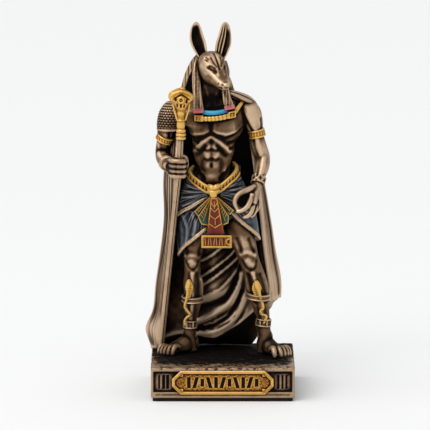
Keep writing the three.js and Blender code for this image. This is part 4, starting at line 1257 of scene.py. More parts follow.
@dataclass
class Headcloth:
    """The pleated headcloth behind the face and its two flat lappets."""

    hood: tuple = (
        (-3.4, 4.4, 68.4, 6.6, 0.8, 3.2),
        (-3.7, 4.0, 71.6, 6.8, 1.2, 3.4),
        (-3.8, 3.6, 74.2, 6.2, 1.6, 3.5),
        (-3.8, 3.0, 76.8, 5.4, 2.0, 3.6),
        (-3.5, 2.4, 79.3, 4.4, 2.4, 3.5),
        (-2.8, 1.7, 81.5, 3.2, 2.2, 3.0),
        (-2.7, 1.5, 82.6, 1.4, 1.0, 1.5),
    )
    outer: tuple = (
        (-6.0, 1.0, 81.4, 0.55, 0.4, 0.8),
        (-6.5, -0.1, 78.6, 0.8, 0.55, 0.9),
        (-6.35, -1.0, 75.2, 1.0, 0.55, 0.9),
        (-6.1, -2.0, 72.2, 1.08, 0.55, 0.9),
        (-5.9, -2.6, 69.4, 1.25, 0.55, 0.9),
    )
    inner: tuple = (
        (0.2, 1.0, 80.6, 0.85, 0.5, 0.8),
        (0.8, 0.6, 78.0, 0.85, 0.55, 0.9),
        (0.6, -0.9, 74.6, 0.85, 0.55, 0.9),
        (1.0, -2.0, 72.0, 1.0, 0.55, 0.9),
        (1.6, -2.6, 70.2, 1.15, 0.55, 0.9),
    )
    pleats: int = 44
    pleat_depth: float = 0.3
    gutter_depth: float = 0.5
    gutter_from: tuple[float, float] = (0.8, 1.2)
    comb_depth: float = 0.03

    def inset(self, points: Array) -> Array:
        """How far each point lies in from the hood's side edge."""
        rows = np.array(self.hood)
        middle, wide = (np.interp(points[..., 2], rows[:, 2], rows[:, k]) for k in (0, 3))
        return wide - np.abs(points[..., 0] - middle)

    def folds(self, points: Array, out: Array) -> Array:
        """Upright pleats round the back, and in front a plain outer strip beside a finely lined gutter."""
        turn = bearing(points, (-3.5, 1.5))
        ridge = self.pleat_depth * (flutes(turn * self.pleats / 2) - 0.6)
        gutter = -self.gutter_depth * rise(self.inset(points), *self.gutter_from)
        gutter += 0.12 * flutes(4.2 * points[..., 0], 1)
        front = np.clip(-20 * out[..., 1], 0, 1)
        return (ridge * (1 - front) + gutter * front) * (1 - rise(points[..., 2], 79.5, 82.5))

    def gutter(self, points: Array, out: Array) -> Array:
        """The lighter outer strip and the darker gutter inside it."""
        front = np.clip(-20 * out[..., 1], 0, 1)
        level = 0.08 - 0.5 * rise(self.inset(points), 0.7, 1.2)
        return level * front * (1 - rise(points[..., 2], 80.0, 82.5))

    def combed(self, points: Array, out: Array) -> Array:
        """Fine upright lines down a lappet."""
        wave = np.sin(points[..., 0] * 9.0 + 0.4 * np.sin(points[..., 2] * 1.3))
        return self.comb_depth * wave + 0.006 * grain(points, 0.9, 41)

    def pieces(self) -> list[Piece]:
        """The hood, the lappets and their rose red ends."""
        hood = limb(self.hood, 90, 270, relief=self.folds, tone=self.gutter)
        lappets = [
            limb(rows, 90, 48, power=3.4, dome=0.2, relief=self.combed) for rows in (self.outer, self.inner)
        ]
        ends = []
        for at, way in (((-5.9, -2.75, 69.0), (0.04, -0.3, -1)), ((1.68, -2.75, 69.85), (0.2, -0.3, -1))):
            half = unit(np.asarray(way)) * 0.42
            low, high = np.asarray(at) - half, np.asarray(at) + half
            ends.append(limb(((*low, 1.28, 0.62, 0.7), (*high, 1.3, 0.62, 0.7)), 16, 60, power=5, dome=0.12))
        return [
            Piece("headcloth", hood, BRONZE),
            Piece("headcloth_lappets", joined(lappets), BRONZE, darker=0.06),
            Piece("lappet_ends", joined(ends), ROSE),
        ]


@dataclass
class Collar:
    """The turquoise band, the gold band under it with its end plates, and the strap to the shoulder."""

    upper: tuple = (
        (-4.75, -2.3, 68.65, 0.52, 0.5, 0.9),
        (-3.4, -2.95, 68.6, 0.54, 0.5, 0.9),
        (-2.0, -3.25, 68.62, 0.54, 0.5, 0.9),
        (-0.4, -3.0, 68.8, 0.54, 0.5, 0.9),
        (0.95, -2.4, 69.05, 0.52, 0.5, 0.9),
    )
    lower: tuple = (
        (-6.3, -2.0, 67.3, 0.5, 0.5, 0.9),
        (-4.4, -3.1, 67.2, 0.52, 0.5, 0.9),
        (-1.9, -3.6, 67.32, 0.52, 0.5, 0.9),
        (0.6, -3.2, 67.7, 0.56, 0.5, 0.9),
        (2.8, -2.1, 68.4, 0.58, 0.5, 0.9),
    )
    stud_height: float = 0.1
    field_depth: float = 0.22
    strap: tuple = (
        (2.9, -2.2, 68.6, 0.5, 0.4, 0.7), (3.9, -1.3, 69.9, 0.45, 0.4, 0.7), (4.9, 0.8, 71.0, 0.4, 0.4, 0.7),
    )

    def studs(self, points: Array, out: Array) -> Array:
        """A row of small studs between two rims: a product of waves along the band."""
        x = points[..., 0]
        return self.stud_height * flutes(x * 3.4, 1) * np.clip(-2 * out[..., 1], 0, 1)

    def plate(self, middle: tuple[float, float, float], size: tuple[float, float], tilt: float) -> Shell:
        """A square end plate: a rim round a sunk and darker field."""
        w, h = size

        def field(inner: float, outer: float) -> Relief:
            """The sunk field, whose edge slopes between two shares of the plate's size."""
            return lambda x, z: -self.field_depth * (1 - rise(share(x, z), inner, outer))

        def share(x: Array, z: Array) -> Array:
            return np.maximum(np.abs(x) / w, np.abs(z) / h)

        corners = ((-w, -h), (w, -h), (w, h), (-w, h))
        made = slab(corners, -0.5, 0.7, relief=field(0.52, 0.68), tone=field(0.5, 0.66), rings=24)
        made.points = turned(made.points, 0, tilt, middle)
        return made

    def pieces(self) -> list[Piece]:
        """The turquoise band and everything gold."""
        gold = [
            limb(self.lower, 120, 40, power=4, dome=0.1, relief=self.studs),
            limb(self.strap, 40, 30, power=4, dome=0.1),
            self.plate((-5.7, -2.55, 67.25), (1.12, 0.72), -22),
            self.plate((2.15, -2.75, 68.15), (0.95, 0.8), 24),
        ]
        gold[3].points[:, 2] += 0.16 * (gold[3].points[:, 0] - 2.15)
        return [
            Piece("collar_turquoise", limb(self.upper, 90, 36, power=4, dome=0.1), TURQUOISE),
            Piece("collar_gold", joined(gold), GOLD),
        ]


@dataclass
class Armour:
    """The scaled shoulder guard, the gold armbands and the plain and plaited cuffs."""

    guard: tuple = (
        (-13.2, 2.1, 63.7, 2.65, 2.9, 2.8),
        (-13.2, 2.1, 65.4, 2.75, 3.1, 3.0),
        (-12.6, 2.1, 67.6, 2.8, 3.0, 3.0),
        (-11.8, 2.2, 69.6, 2.1, 2.1, 2.2),
        (-11.2, 2.3, 70.7, 0.6, 0.6, 0.6),
    )
    middle: tuple[float, float] = (-12.8, 2.1)
    row: float = 0.6
    scale: float = 0.74
    scale_height: float = 0.26
    edge: float = 64.0
    edge_height: float = 0.18
    rim_height: float = 0.14
    stud_height: float = 0.1
    cord_height: float = 0.16

    def scales(self, points: Array, out: Array) -> Array:
        """Overlapping round scales in offset rows, thick at each lower edge, above a plain rim."""
        turn = np.arctan2(points[..., 0] - self.middle[0], -(points[..., 1] - self.middle[1])) * 2.9
        down = (71.0 - points[..., 2]) / self.row
        row = np.floor(down)
        u = np.mod(turn / self.scale + 0.5 * np.mod(row, 2), 1.0) - 0.5
        v = down - row
        inside = rise(1.0 - 1.3 * u**2 * 2 - np.abs(v - 0.35) * 0.9, 0.0, 0.5)
        plain = rise(points[..., 2], 64.3, 64.7)
        rim = self.edge_height * bell(points[..., 2] - self.edge, 0.3)
        return plain * (self.scale_height * inside * v - 0.06) + rim

    def scale_wash_and_top_light(self, points: Array, out: Array) -> Array:
        """The scales' dark wash, lightened towards the top of the shoulder as painted light, and a light
        lower rim.
        """
        # Painted light lifts the tone towards the top of the shoulder; the plain lower rim is lighter.
        return -0.16 + 0.14 * rise(points[..., 2], 66.5, 70.0) + 0.2 * bell(points[..., 2] - self.edge, 0.5)

    def studded(self, centre: Sequence[float], way: Sequence[float], height: float, count: int) -> Relief:
        """Two raised rims with small studs between them, round a band."""
        axis = unit(np.asarray(way, float))

        def relief(points: Array, out: Array) -> Array:
            along = (points - np.asarray(centre)) @ axis
            rims = self.rim_height * bell(np.abs(along) - height * 0.38, 0.16)
            studs = self.stud_height * flutes(bearing(points, centre) * count / 2, 2)
            return rims + studs * bell(along, height * 0.22)

        return relief

    def plait(self, points: Array, out: Array) -> Array:
        """Crossed slanting cords, as on a plaited cuff."""
        turn = bearing(points, (8.7, -0.4))
        along = (points[..., 2] - 51.8) * 2.6
        cords = np.maximum(np.sin(5 * turn + along * 1.6), np.sin(5 * turn - along * 1.6))
        return self.cord_height * cords + 0.1 * bell(np.abs(along) - 2.0, 0.5)

    def pieces(self) -> list[Piece]:
        """The guard, two armbands and two cuffs."""
        staff_band = ((-14.1, 2.3, 61.7), (0.42, -0.25, 1))
        open_band = ((8.3, 2.2, 62.9), (-0.22, 0, 1))
        gold = [
            ring_band(*staff_band, 2.06, 2.4, 2.25, 1.5, self.studded(*staff_band, 1.5, 22)),
            ring_band(*open_band, 1.98, 2.45, 2.25, 1.9, self.studded(*open_band, 1.9, 20)),
        ]
        cuffs = [
            ring_band((-13.5, -1.5, 56.0), (0.55, -1.6, -0.15), 1.75, 1.85, 1.75, 1.5,
                      lambda p, n: 0.14 * np.sin((p[..., 1] + 1.5) * 7.5)),
            ring_band((8.7, -0.4, 51.8), (0.3, 0.7, 1.1), 1.62, 1.68, 1.58, 1.9, self.plait, 40, 140),
        ]
        return [
            Piece("shoulder_guard", limb(self.guard, 104, 184, relief=self.scales, tone=self.scale_wash_and_top_light), BRONZE),
            Piece("armbands", joined(gold), GOLD),
            Piece("wrist_cuffs", joined(cuffs), BRONZE),
        ]


@dataclass
class Kilt:
    """The wrapped kilt in two layers, its hems, the belt and the knot."""

    top: tuple = (53.6, 51.4, 49.4, 52.2, 54.6, 55.2, 55.0, 54.6)
    under: tuple = (33.2, 36.6, 41.6, 43.5, 40.0, 38.0, 36.0, 34.2)
    over: tuple = (41.6, 44.9, 47.6, 40.8, 37.0, 35.8, 37.4, 39.8)
    pleats: float = 15.5
    rings: int = 66
    sides: int = 300
    knot_at: tuple = (-2.2, 48.9)
    middle: tuple = (-1.8, 1.6)
    fan_height: float = 0.26
    hang_height: float = 0.3
    tick_height: float = 0.2
    ticks_round: float = 40.0
    belt_shade_tone: float = 0.6
    shape: tuple = (
        (-2.2, 1.9, 6.1, 4.1, 4.2),
        (-2.1, 1.8, 8.2, 4.8, 5.0),
        (-1.8, 1.6, 9.5, 5.0, 5.6),
        (-1.4, 1.5, 9.8, 5.0, 6.0),
        (-1.2, 1.5, 9.5, 4.9, 6.2),
    )
    folds: tuple = (
        Stroke(((-3.9, 49.6), (-6.6, 49.9), (-9.4, 51.0)), 0.3, 0.22),
        Stroke(((-3.9, 49.2), (-6.6, 49.0), (-9.6, 49.3)), 0.28, 0.2),
        Stroke(((-3.8, 48.7), (-6.6, 48.0), (-9.8, 47.6)), 0.3, 0.26),
        Stroke(((-3.6, 48.2), (-6.4, 46.9), (-9.6, 45.6)), 0.3, 0.24),
        Stroke(((-3.6, 47.9), (-6.2, 46.3), (-9.2, 44.3)), 0.26, 0.2),
        Stroke(((-0.6, 49.4), (1.6, 50.4), (4.2, 52.0)), 0.3, 0.22),
        Stroke(((-0.5, 49.0), (1.9, 49.4), (5.0, 50.2)), 0.28, 0.22),
        Stroke(((-0.5, 48.6), (2.0, 48.4), (5.4, 48.3)), 0.3, 0.26),
        Stroke(((-0.6, 48.2), (2.2, 47.2), (5.6, 46.2)), 0.3, 0.24),
        Stroke(((-0.4, 47.6), (2.4, 45.9), (5.8, 44.2)), 0.28, 0.2),
        Stroke(((-9.6, 43.0), (-8.6, 40.0), (-8.8, 36.6)), 0.5, 0.22),
        Stroke(((-7.4, 44.2), (-6.6, 41.4), (-7.0, 38.6)), 0.5, 0.2),
        Stroke(((6.2, 46.0), (7.4, 42.6), (8.0, 39.4)), 0.5, 0.25),
    )

    def point(self, turn: Array, z: Array, proud: float) -> Array:
        """The place on the kilt at a part of a turn and a height: a closed outline that widens downwards."""
        angle = 2 * math.pi * turn
        down = np.clip((53 - z) / 20, 0, 1)
        row = trace(self.shape, down)
        c, s = -np.cos(angle), -np.sin(angle)
        cleft = 1.3 * down * bell(turn - 0.27, 0.06)
        reach = np.where(s < 0, row[..., 3] - cleft, row[..., 4]) + proud
        return np.stack([row[..., 0] + c * (row[..., 2] + proud), row[..., 1] + s * reach, z], axis=-1)

    def layer(self, hem: tuple, proud: float, seed: int) -> Shell:
        """One layer down to its hem, with folds that fan out from the knot and soft ones that hang behind."""
        turn = (np.arange(self.sides) + 0.5) / self.sides * np.ones((self.rings, 1))
        share = np.linspace(0, 1, self.rings)[:, None]
        z = around(self.top, turn) * (1 - share) + around(hem, turn) * share
        grid = self.point(turn, z, proud)
        away = (grid[..., 0] - self.middle[0], grid[..., 1] - self.middle[1], np.zeros_like(z))
        out = unit(np.stack(away, axis=-1))
        front = np.clip(-2 * out[..., 1] + 0.2, 0, 1)
        hang = self.hang_height * share * np.sin(2 * math.pi * 13 * turn + seed) * (1 - front)
        across, up = grid[..., 0] - self.knot_at[0], grid[..., 2] - self.knot_at[1]
        far = np.hypot(up, across)
        bent = np.arctan2(up, across) + 0.03 * far * np.sign(across)
        fan = self.fan_height * (flutes(bent * self.pleats) - 0.6) + 0.05 * np.sin(bent * 83 + np.sin(far))
        fan *= rise(far, 0.8, 2.0) * (1 - 0.9 * rise(far, 7.0, 11.0))
        lift = front * (drawn(grid, self.folds) + fan) + hang + 0.015 * grain(grid, 2.4, seed)
        # The top rings, under the belt, are darkened as painted shade.
        dark = -self.belt_shade_tone * (1 - rise(share, 0.0, 0.04)) * np.ones_like(z)
        return closed(grid + out * lift[..., None], dark)

    def hem(self, heights: tuple, proud: float, start: float, stop: float) -> Shell:
        """The rolled edge of a layer between two parts of a turn."""
        turn = np.linspace(start, stop, 60)
        z = around(heights, turn)
        path = self.point(turn, z, proud)
        rows = np.concatenate([path, np.tile([0.4, 0.5, 0.42], (60, 1))], axis=1)
        rows[:, 1] -= 0.05

        def worn(points: Array, out: Array) -> Array:
            return 0.02 * grain(points, 1.5, 53) - 0.12 * bell(out[..., 2] - 0.3, 0.2)

        return limb(rows[::3], 120, 18, front=UP, dome=0.3, relief=worn)

    def belt(self) -> list[Shell]:
        """Two gold cords over the hips with a ticked band between them, dipping to the knot."""
        turn = np.linspace(-0.015, 0.515, 60)
        ends = 0.8 * (1 - between(turn, (-0.02, 0.05), (0.45, 0.52)))
        made = []
        for lift, thick, tall, proud, plain in (
            (1.0, 0.36, 0.3, 0.1, True), (-0.5, 0.36, 0.3, 0.25, True), (0.25, 0.3, 0.66, 0.02, False),
        ):
            z = around(self.top, turn) + lift
            c, s = -np.cos(2 * math.pi * turn), -np.sin(2 * math.pi * turn)
            reach = np.interp(z, (50.0, 53.0, 54.5, 56.5), (6.3, 6.2, 5.85, 5.2)) + proud - ends
            deep = np.interp(z, (50.0, 53.0, 56.0), (4.9, 4.8, 4.2)) + proud
            sizes = np.tile([thick, tall, tall], (len(turn), 1))
            rows = np.column_stack([-2.15 + c * reach, 1.8 + s * deep, z, sizes])
            power, relief = (2.4, None) if plain else (4, self.ticks)
            made.append(limb(rows, 300, 24, front=UP, power=power, dome=0.2, relief=relief))
        return made

    def ticks(self, points: Array, out: Array) -> Array:
        """Small upright bars along the belt."""
        turn = np.arctan2(points[..., 0] + 2.1, -(points[..., 1] - 1.8))
        bars = self.tick_height * rise(np.sin(turn * self.ticks_round), 0.0, 0.6)
        return bars * within(out[..., 2], 0.5, 0.9) - 0.08

    def knot(self) -> list[Shell]:
        """The knot: two lobes above, a tongue below and a cross band."""
        tongue = (
            (-2.25, -4.9, 50.2, 1.1, 0.6, 0.9),
            (-2.25, -5.1, 49.0, 0.95, 0.6, 0.9),
            (-2.2, -5.0, 47.7, 0.3, 0.3, 0.5),
        )
        return [
            rod(((-3.3, -4.6, 50.9, 0.55), (-2.6, -5.2, 50.7, 0.62), (-2.0, -5.0, 50.2, 0.5)), 24, 20),
            rod(((-0.9, -4.6, 51.0, 0.55), (-1.7, -5.2, 50.8, 0.62), (-2.4, -5.0, 50.2, 0.5)), 24, 20),
            rod(((-3.3, -4.7, 49.8, 0.5), (-2.3, -5.3, 49.5, 0.6), (-1.1, -4.7, 49.8, 0.5)), 24, 20),
            limb(tongue, 30, 30, dome=0.2),
        ]

    def pieces(self) -> list[Piece]:
        """The two layers, the hems, the belt and the knot."""
        hems = [self.hem(self.over, 0.5, 0.0, 0.235), self.hem(self.over, 0.5, 0.29, 0.5),
                self.hem(self.under, 0.05, -0.02, 0.25)]
        return [
            Piece("kilt_under", self.layer(self.under, 0.0, 51), BLUE_GREY),
            Piece("kilt_over", self.layer(self.over, 0.45, 52), BLUE_GREY),
            Piece("kilt_hems", joined(hems), BRONZE),
            Piece("belt", joined(self.belt() + self.knot()), GOLD),
        ]


@dataclass
class Sash:
    """The green side tails, the red middle tail and its end panel, all edged in gold."""

    top: tuple = (-2.25, 48.6)
    front: float = -4.9
    thread: float = 0.115
    stroke: float = 0.14

    def tails(self) -> list[list[tuple[float, float]]]:
        """The outlines of the four green tails, two a side."""
        return [
            [(-2.9, 48.4), (-6.8, 44.7), (-6.0, 43.7), (-5.0, 44.3)],
            [(-2.7, 48.2), (-5.9, 43.5), (-5.1, 41.7), (-3.5, 41.4)],
            [(-1.5, 48.4), (2.6, 45.0), (1.7, 44.0), (0.8, 44.7)],
            [(-1.7, 48.2), (1.4, 43.6), (1.3, 42.0), (-0.2, 41.4)],
        ]

    def cord(self, points: Sequence[tuple[float, float]], y: float, radius: float) -> list[Shell]:
        """Straight gold cords from point to point, each a short rod."""
        return [
            rod(((a[0], y, a[1], radius), (b[0], y, b[1], radius)), 3, 9)
            for a, b in zip(points[:-1], points[1:])
        ]

    def pieces(self) -> list[Piece]:
        """The green and red plates and every gold cord on them."""
        green, gold = [], []
        for k, tail in enumerate(self.tails()):
            face = self.front - (0.15 if k % 2 else -0.25)
            green.append(slab(tail, face, face + 3.2, rings=14))
            gold += self.cord([*tail, tail[0]], face - 0.02, self.thread)
            start = np.array(tail[0])
            rib_end = (np.array(tail[1]) + np.array(tail[-1])) / 2
            gold += self.cord([tuple(start), tuple(rib_end)], face - 0.02, self.thread * 0.8)
            for share in (0.5, 0.62, 0.74, 0.86):
                a = start + (np.array(tail[1]) - start) * share
                b = start + (np.array(tail[-1]) - start) * share
                end = a + 0.34 * (b - a) + (0, -0.25)
                gold += self.cord([tuple(a), tuple(end)], face - 0.02, self.thread * 0.8)
        red_face = self.front - 0.55
        tail = [(-2.75, 48.0), (-3.75, 38.6), (0.35, 38.6), (-1.45, 48.0)]
        red = [slab(tail, red_face, red_face + 3.4, rings=20)]
        gold += self.cord([*tail, tail[0]], red_face - 0.02, self.thread * 1.25)
        for z, half in ((46.4, 0.75), (45.2, 0.95), (43.4, 1.2), (41.3, 1.45)):
            middle = -2.1 + (48.0 - z) * 0.04
            chevron = [(middle - half, z + 0.5), (middle, z - 0.45), (middle + half, z + 0.5)]
            gold += self.cord(chevron, red_face, self.stroke)
        gold += self.cord([(-2.05, 47.2), (-2.0, 45.6)], red_face, self.stroke)
        gold += self.cord([(-1.85, 42.8), (-1.8, 41.6)], red_face, self.stroke)
        panel_face = self.front - 1.0
        panel = [(-4.9, 36.2), (1.9, 36.2), (1.9, 38.8), (-4.9, 38.8)]
        red.append(slab(panel, panel_face, panel_face + 2.0, rings=16))
        gold += self.cord([*panel, panel[0]], panel_face, 0.3)
        for k in range(8):
            x = -4.2 + 0.68 * k
            lean = 0.16 if k % 2 else -0.1
            gold += self.cord([(x, 36.7), (x + lean, 38.3)], panel_face, self.stroke)
        turn = np.linspace(0, 1.6 * math.pi, 12)
        curl = [(1.5 + 0.62 * math.cos(a), 37.5 + 0.7 * math.sin(a)) for a in turn]
        gold += self.cord(curl, panel_face - 0.1, 0.2)
        return [
            Piece("sash_green", joined(green), GREEN),
            Piece("sash_red", joined(red), RED),
            Piece("sash_gold", joined(gold), GOLD, darker=0.18),
        ]


@dataclass
class ShinWear:
    """The bands below the knees and at the ankles, and the gold snake on each shin."""

    snakes: tuple = (
        (
            (-8.25, -0.55, 26.9, 0.45), (-8.45, -0.45, 25.5, 0.5), (-8.45, 0.0, 23.8, 0.4),
            (-8.8, 0.6, 22.0, 0.34), (-9.2, 1.2, 20.2, 0.3), (-8.6, 1.5, 19.0, 0.3), (-8.0, 1.7, 18.1, 0.3),
            (-8.9, 2.0, 17.2, 0.28), (-9.25, 2.2, 16.4, 0.26), (-9.1, 2.3, 15.3, 0.22),
        ),
        (
            (8.2, -1.45, 26.8, 0.5), (8.45, -1.35, 25.4, 0.55), (8.8, -0.95, 23.8, 0.45),
            (9.4, -0.35, 21.9, 0.38), (9.8, 0.0, 20.2, 0.33), (9.3, 0.3, 19.2, 0.33), (9.5, 0.5, 18.5, 0.33),
            (10.6, 0.7, 17.9, 0.3), (10.4, 0.8, 17.0, 0.28), (10.1, 0.9, 16.2, 0.24),
        ),
    )
    sizes: tuple[float, float] = (1.05, 1.2)
    wash: float = 0.1

    def bands(self) -> list[Shell]:
        """Two bands a leg, each with two thin rims, and square frames between them at the ankle."""
        made = []
        for at, way, size, height, frames in (
            ((-7.4, 2.9, 21.95), (0.0, -0.1, 1), (2.5, 2.65, 2.6), 1.3, 0),
            ((8.6, 1.9, 22.9), (0.1, -0.1, 1), (2.85, 3.0, 2.95), 1.3, 0),
            ((-8.0, 4.3, 15.3), (0.03, 0, 1), (1.5, 1.72, 1.8), 1.9, 7),
            ((10.0, 2.6, 16.1), (0.1, 0, 1), (1.68, 1.85, 1.95), 1.9, 7),
        ):
            made.append(ring_band(at, way, *size, height, self.rims(at, way, height, frames)))
        return made

    def rims(self, at: Sequence[float], way: Sequence[float], height: float, frames: int) -> Relief:
        """Raised edges above and below, and upright bars between them if frames isn't 0."""
        axis = unit(np.asarray(way, float))

        def relief(points: Array, out: Array) -> Array:
            along = (points - np.asarray(at)) @ axis
            edge = 0.24 * bell(np.abs(along) - height * 0.4, 0.17)
            if not frames:
                return edge
            return np.maximum(edge, 0.24 * rise(np.cos(bearing(points, at) * frames), 0.75, 0.95))

        return relief

    def pieces(self) -> list[Piece]:
        """The bands and the two snakes with their spread hoods."""
        def ribs(points: Array, out: Array) -> Array:
            return 0.025 * np.sin(11 * points[..., 2]) - 0.1 * bell(out[..., 0], 0.2)

        gold = []
        for rows, size in zip(self.snakes, self.sizes):
            body = [(x, y - 0.05, z, r * 1.2) for x, y, z, r in rows]
            gold.append(rod(body, 110, 16, relief=lambda p, n: 0.02 * np.sin(9 * p[..., 2])))
            x, y, z = rows[0][:3]
            hood = (
                (x, y, z + 0.2, 0.4 * size, 0.3, 0.3),
                (x + 0.03, y, z - 0.6, 0.75 * size, 0.36, 0.4),
                (x + 0.08, y + 0.1, z - 1.7, 0.95 * size, 0.34, 0.4),
                (x + 0.1, y + 0.3, z - 3.0, 0.6 * size, 0.3, 0.4),
                (x + 0.12, y + 0.6, z - 4.2, 0.3 * size, 0.26, 0.4),
            )
            gold.append(limb(hood, 60, 32, dome=0.2, relief=ribs))
        snakes = joined(gold)
        snakes.tone -= self.wash
        return [Piece("shin_bands", joined(self.bands()), BRONZE), Piece("shin_snakes", snakes, GOLD)]


# The cape


@dataclass
class Cape:
    """The long cape: one mass from the shoulders to the ground, folds upright outside and slanting within.

    The tables of x and y across and back hold one row a height, from the staff's side round to the free side.
    The hem, the swag within it and the depth of the hollow inside have one value for each place of a row.
    """

    rings: int = 140
    columns: int = 190
    smoothing: int = 14
    centre: tuple = (-2.0, 2.5)
    strong_height: float = 0.95
    fine_height: float = 0.26
    calmer_behind: float = 0.6
    inner_height: float = 0.5
    flare: float = 1.9
    hem_ground_shade: float = 0.75
    heights: tuple = (72.3, 70.0, 53.0, 42.0, 33.0, 24.0, 8.3)
    across: tuple = (
        (-9.2, -9.4, -8.8, -6.4, -2.6, 1.8, 4.6, 5.2, 5.0),
        (-10.6, -11.6, -11.4, -7.8, -2.6, 2.6, 5.8, 6.4, 6.0),
        (-11.4, -13.2, -14.1, -10.8, -2.2, 5.4, 8.9, 9.4, 8.4),
        (-12.1, -13.3, -13.9, -10.6, -2.0, 6.6, 10.7, 11.3, 9.8),
        (-12.9, -14.0, -14.9, -11.0, -2.0, 7.0, 11.8, 12.7, 10.8),
        (-13.8, -15.2, -16.2, -11.8, -2.0, 7.2, 13.0, 14.2, 12.0),
        (-15.3, -16.5, -17.0, -13.0, -2.0, 7.0, 12.0, 13.2, 12.0),
    )
    back: tuple = (
        (2.4, 3.0, 4.4, 6.0, 6.6, 6.0, 4.4, 3.4, 2.6),
        (3.2, 4.2, 5.6, 7.6, 8.2, 7.6, 5.8, 4.6, 3.4),
        (-1.8, 0.4, 4.0, 9.6, 11.4, 10.2, 7.6, 5.4, 3.8),
        (-0.7, 1.2, 4.6, 10.4, 12.4, 11.4, 9.0, 6.4, 4.2),
        (1.4, 2.8, 5.6, 11.2, 13.2, 12.2, 9.6, 7.0, 4.8),
        (3.6, 4.6, 7.2, 12.4, 14.0, 13.0, 10.2, 7.6, 5.6),
        (7.0, 7.6, 9.4, 13.2, 14.6, 13.6, 11.2, 8.8, 7.2),
    )
    hem: tuple = ((8.4,), (8.4,), (8.4,), (8.4,), (8.4,), (8.4,), (20.0,), (21.2,), (20.4,))
    swag: tuple = ((8.4,), (8.4,), (9.6,), (11.4,), (10.7,), (14.2,), (20.0,), (21.2,), (20.4,))
    depth: tuple = ((0.8,), (1.2,), (1.7,), (4.2,), (5.6,), (4.2,), (1.9,), (1.2,), (0.8,))
    inner_folds: tuple = (
        Stroke(((-6.0, 25.6), (-4.26, 27.0), (-1.75, 28.8), (1.5, 31.3), (3.0, 33.0)), 0.3, 0.26),
        Stroke(((-6.4, 22.6), (-4.5, 24.5), (-1.25, 26.75), (3.0, 30.3), (4.2, 32.4)), 0.34, 0.3),
        Stroke(((-6.0, 20.2), (-4.2, 21.4), (-0.4, 23.4), (3.0, 27.2), (4.2, 30.0)), 0.32, 0.2),
        Stroke(((-6.0, 18.0), (-4.2, 18.8), (1.0, 21.2), (3.8, 25.4), (4.6, 28.6)), 1.0, -0.6),
        Stroke(
            ((-7.0, 14.9), (-5.2, 15.4), (-1.75, 17.2), (1.5, 19.5), (3.6, 23.3), (4.6, 27.0)),
            0.85, 0.75,
        ),
        Stroke(((-6.4, 12.8), (-4.0, 13.4), (0.2, 15.4), (3.2, 18.8), (4.9, 22.6)), 0.5, -0.4),
        Stroke(((-5.6, 12.0), (-2.6, 12.3), (1.0, 13.9), (4.2, 17.2), (5.8, 20.8)), 0.85, 0.5),
        Stroke(((-2.4, 11.0), (1.3, 12.0), (4.6, 14.6), (6.4, 18.2)), 0.5, 0.3),
        Stroke(((-4.4, 14.2), (-1.4, 15.2), (1.8, 17.2)), 0.24, 0.18),
        Stroke(((-3.2, 13.0), (0.4, 14.2), (3.0, 16.1)), 0.22, -0.18),
        Stroke(((-5.0, 30.4), (-2.2, 32.2), (0.6, 34.4)), 0.34, 0.24),
    )

    def plan(self, s: Array, z: Array) -> Array:
        """The x, y of the outer face at a share s of the way round and a height, between the table's rows."""
        last = len(self.heights) - 1
        u = np.interp(-z, -np.array(self.heights), np.linspace(0, 1, last + 1)) * last
        curves = np.stack([trace(np.stack([a, b], axis=1), s) for a, b in zip(self.across, self.back)])
        k = np.minimum(u.astype(int), last - 1)
        rows, columns = np.indices(s.shape)
        near = (curves[np.clip(k + step, 0, last), rows, columns] for step in (-1, 0, 1, 2))
        return spline(*near, (u - k)[..., None])

    def folds(self, s: Array, fall: Array, z: Array) -> Array:
        """Upright folds of uneven width that drift with height, with finer ones, all shallower behind."""
        drift = s + 0.008 * np.sin(z * 0.13) + 0.005 * np.sin(z * 0.31 + 9 * s)
        uneven = drift + 0.02 * np.sin(17 * drift + 0.4) + 0.011 * np.sin(43 * drift + 1.7)
        strong = flutes(math.pi * (12 * uneven + 0.2 * fall), 0.6)
        fine = flutes(math.pi * (29 * uneven + 0.15 * np.sin(z * 0.2)), 0.8)
        depth = 0.7 + 0.3 * np.sin(21 * drift + 0.07 * z)
        lift = self.strong_height * depth * (strong - 0.7) + self.fine_height * (fine - 0.6)
        return (0.25 + 0.75 * fall) * (1 - self.calmer_behind * self.behind(s)) * lift

    def behind(self, s: Array) -> Array:
        """1 across the back and 0 on the parts that are seen from in front."""
        return between(s, (0.24, 0.36), (0.64, 0.76))

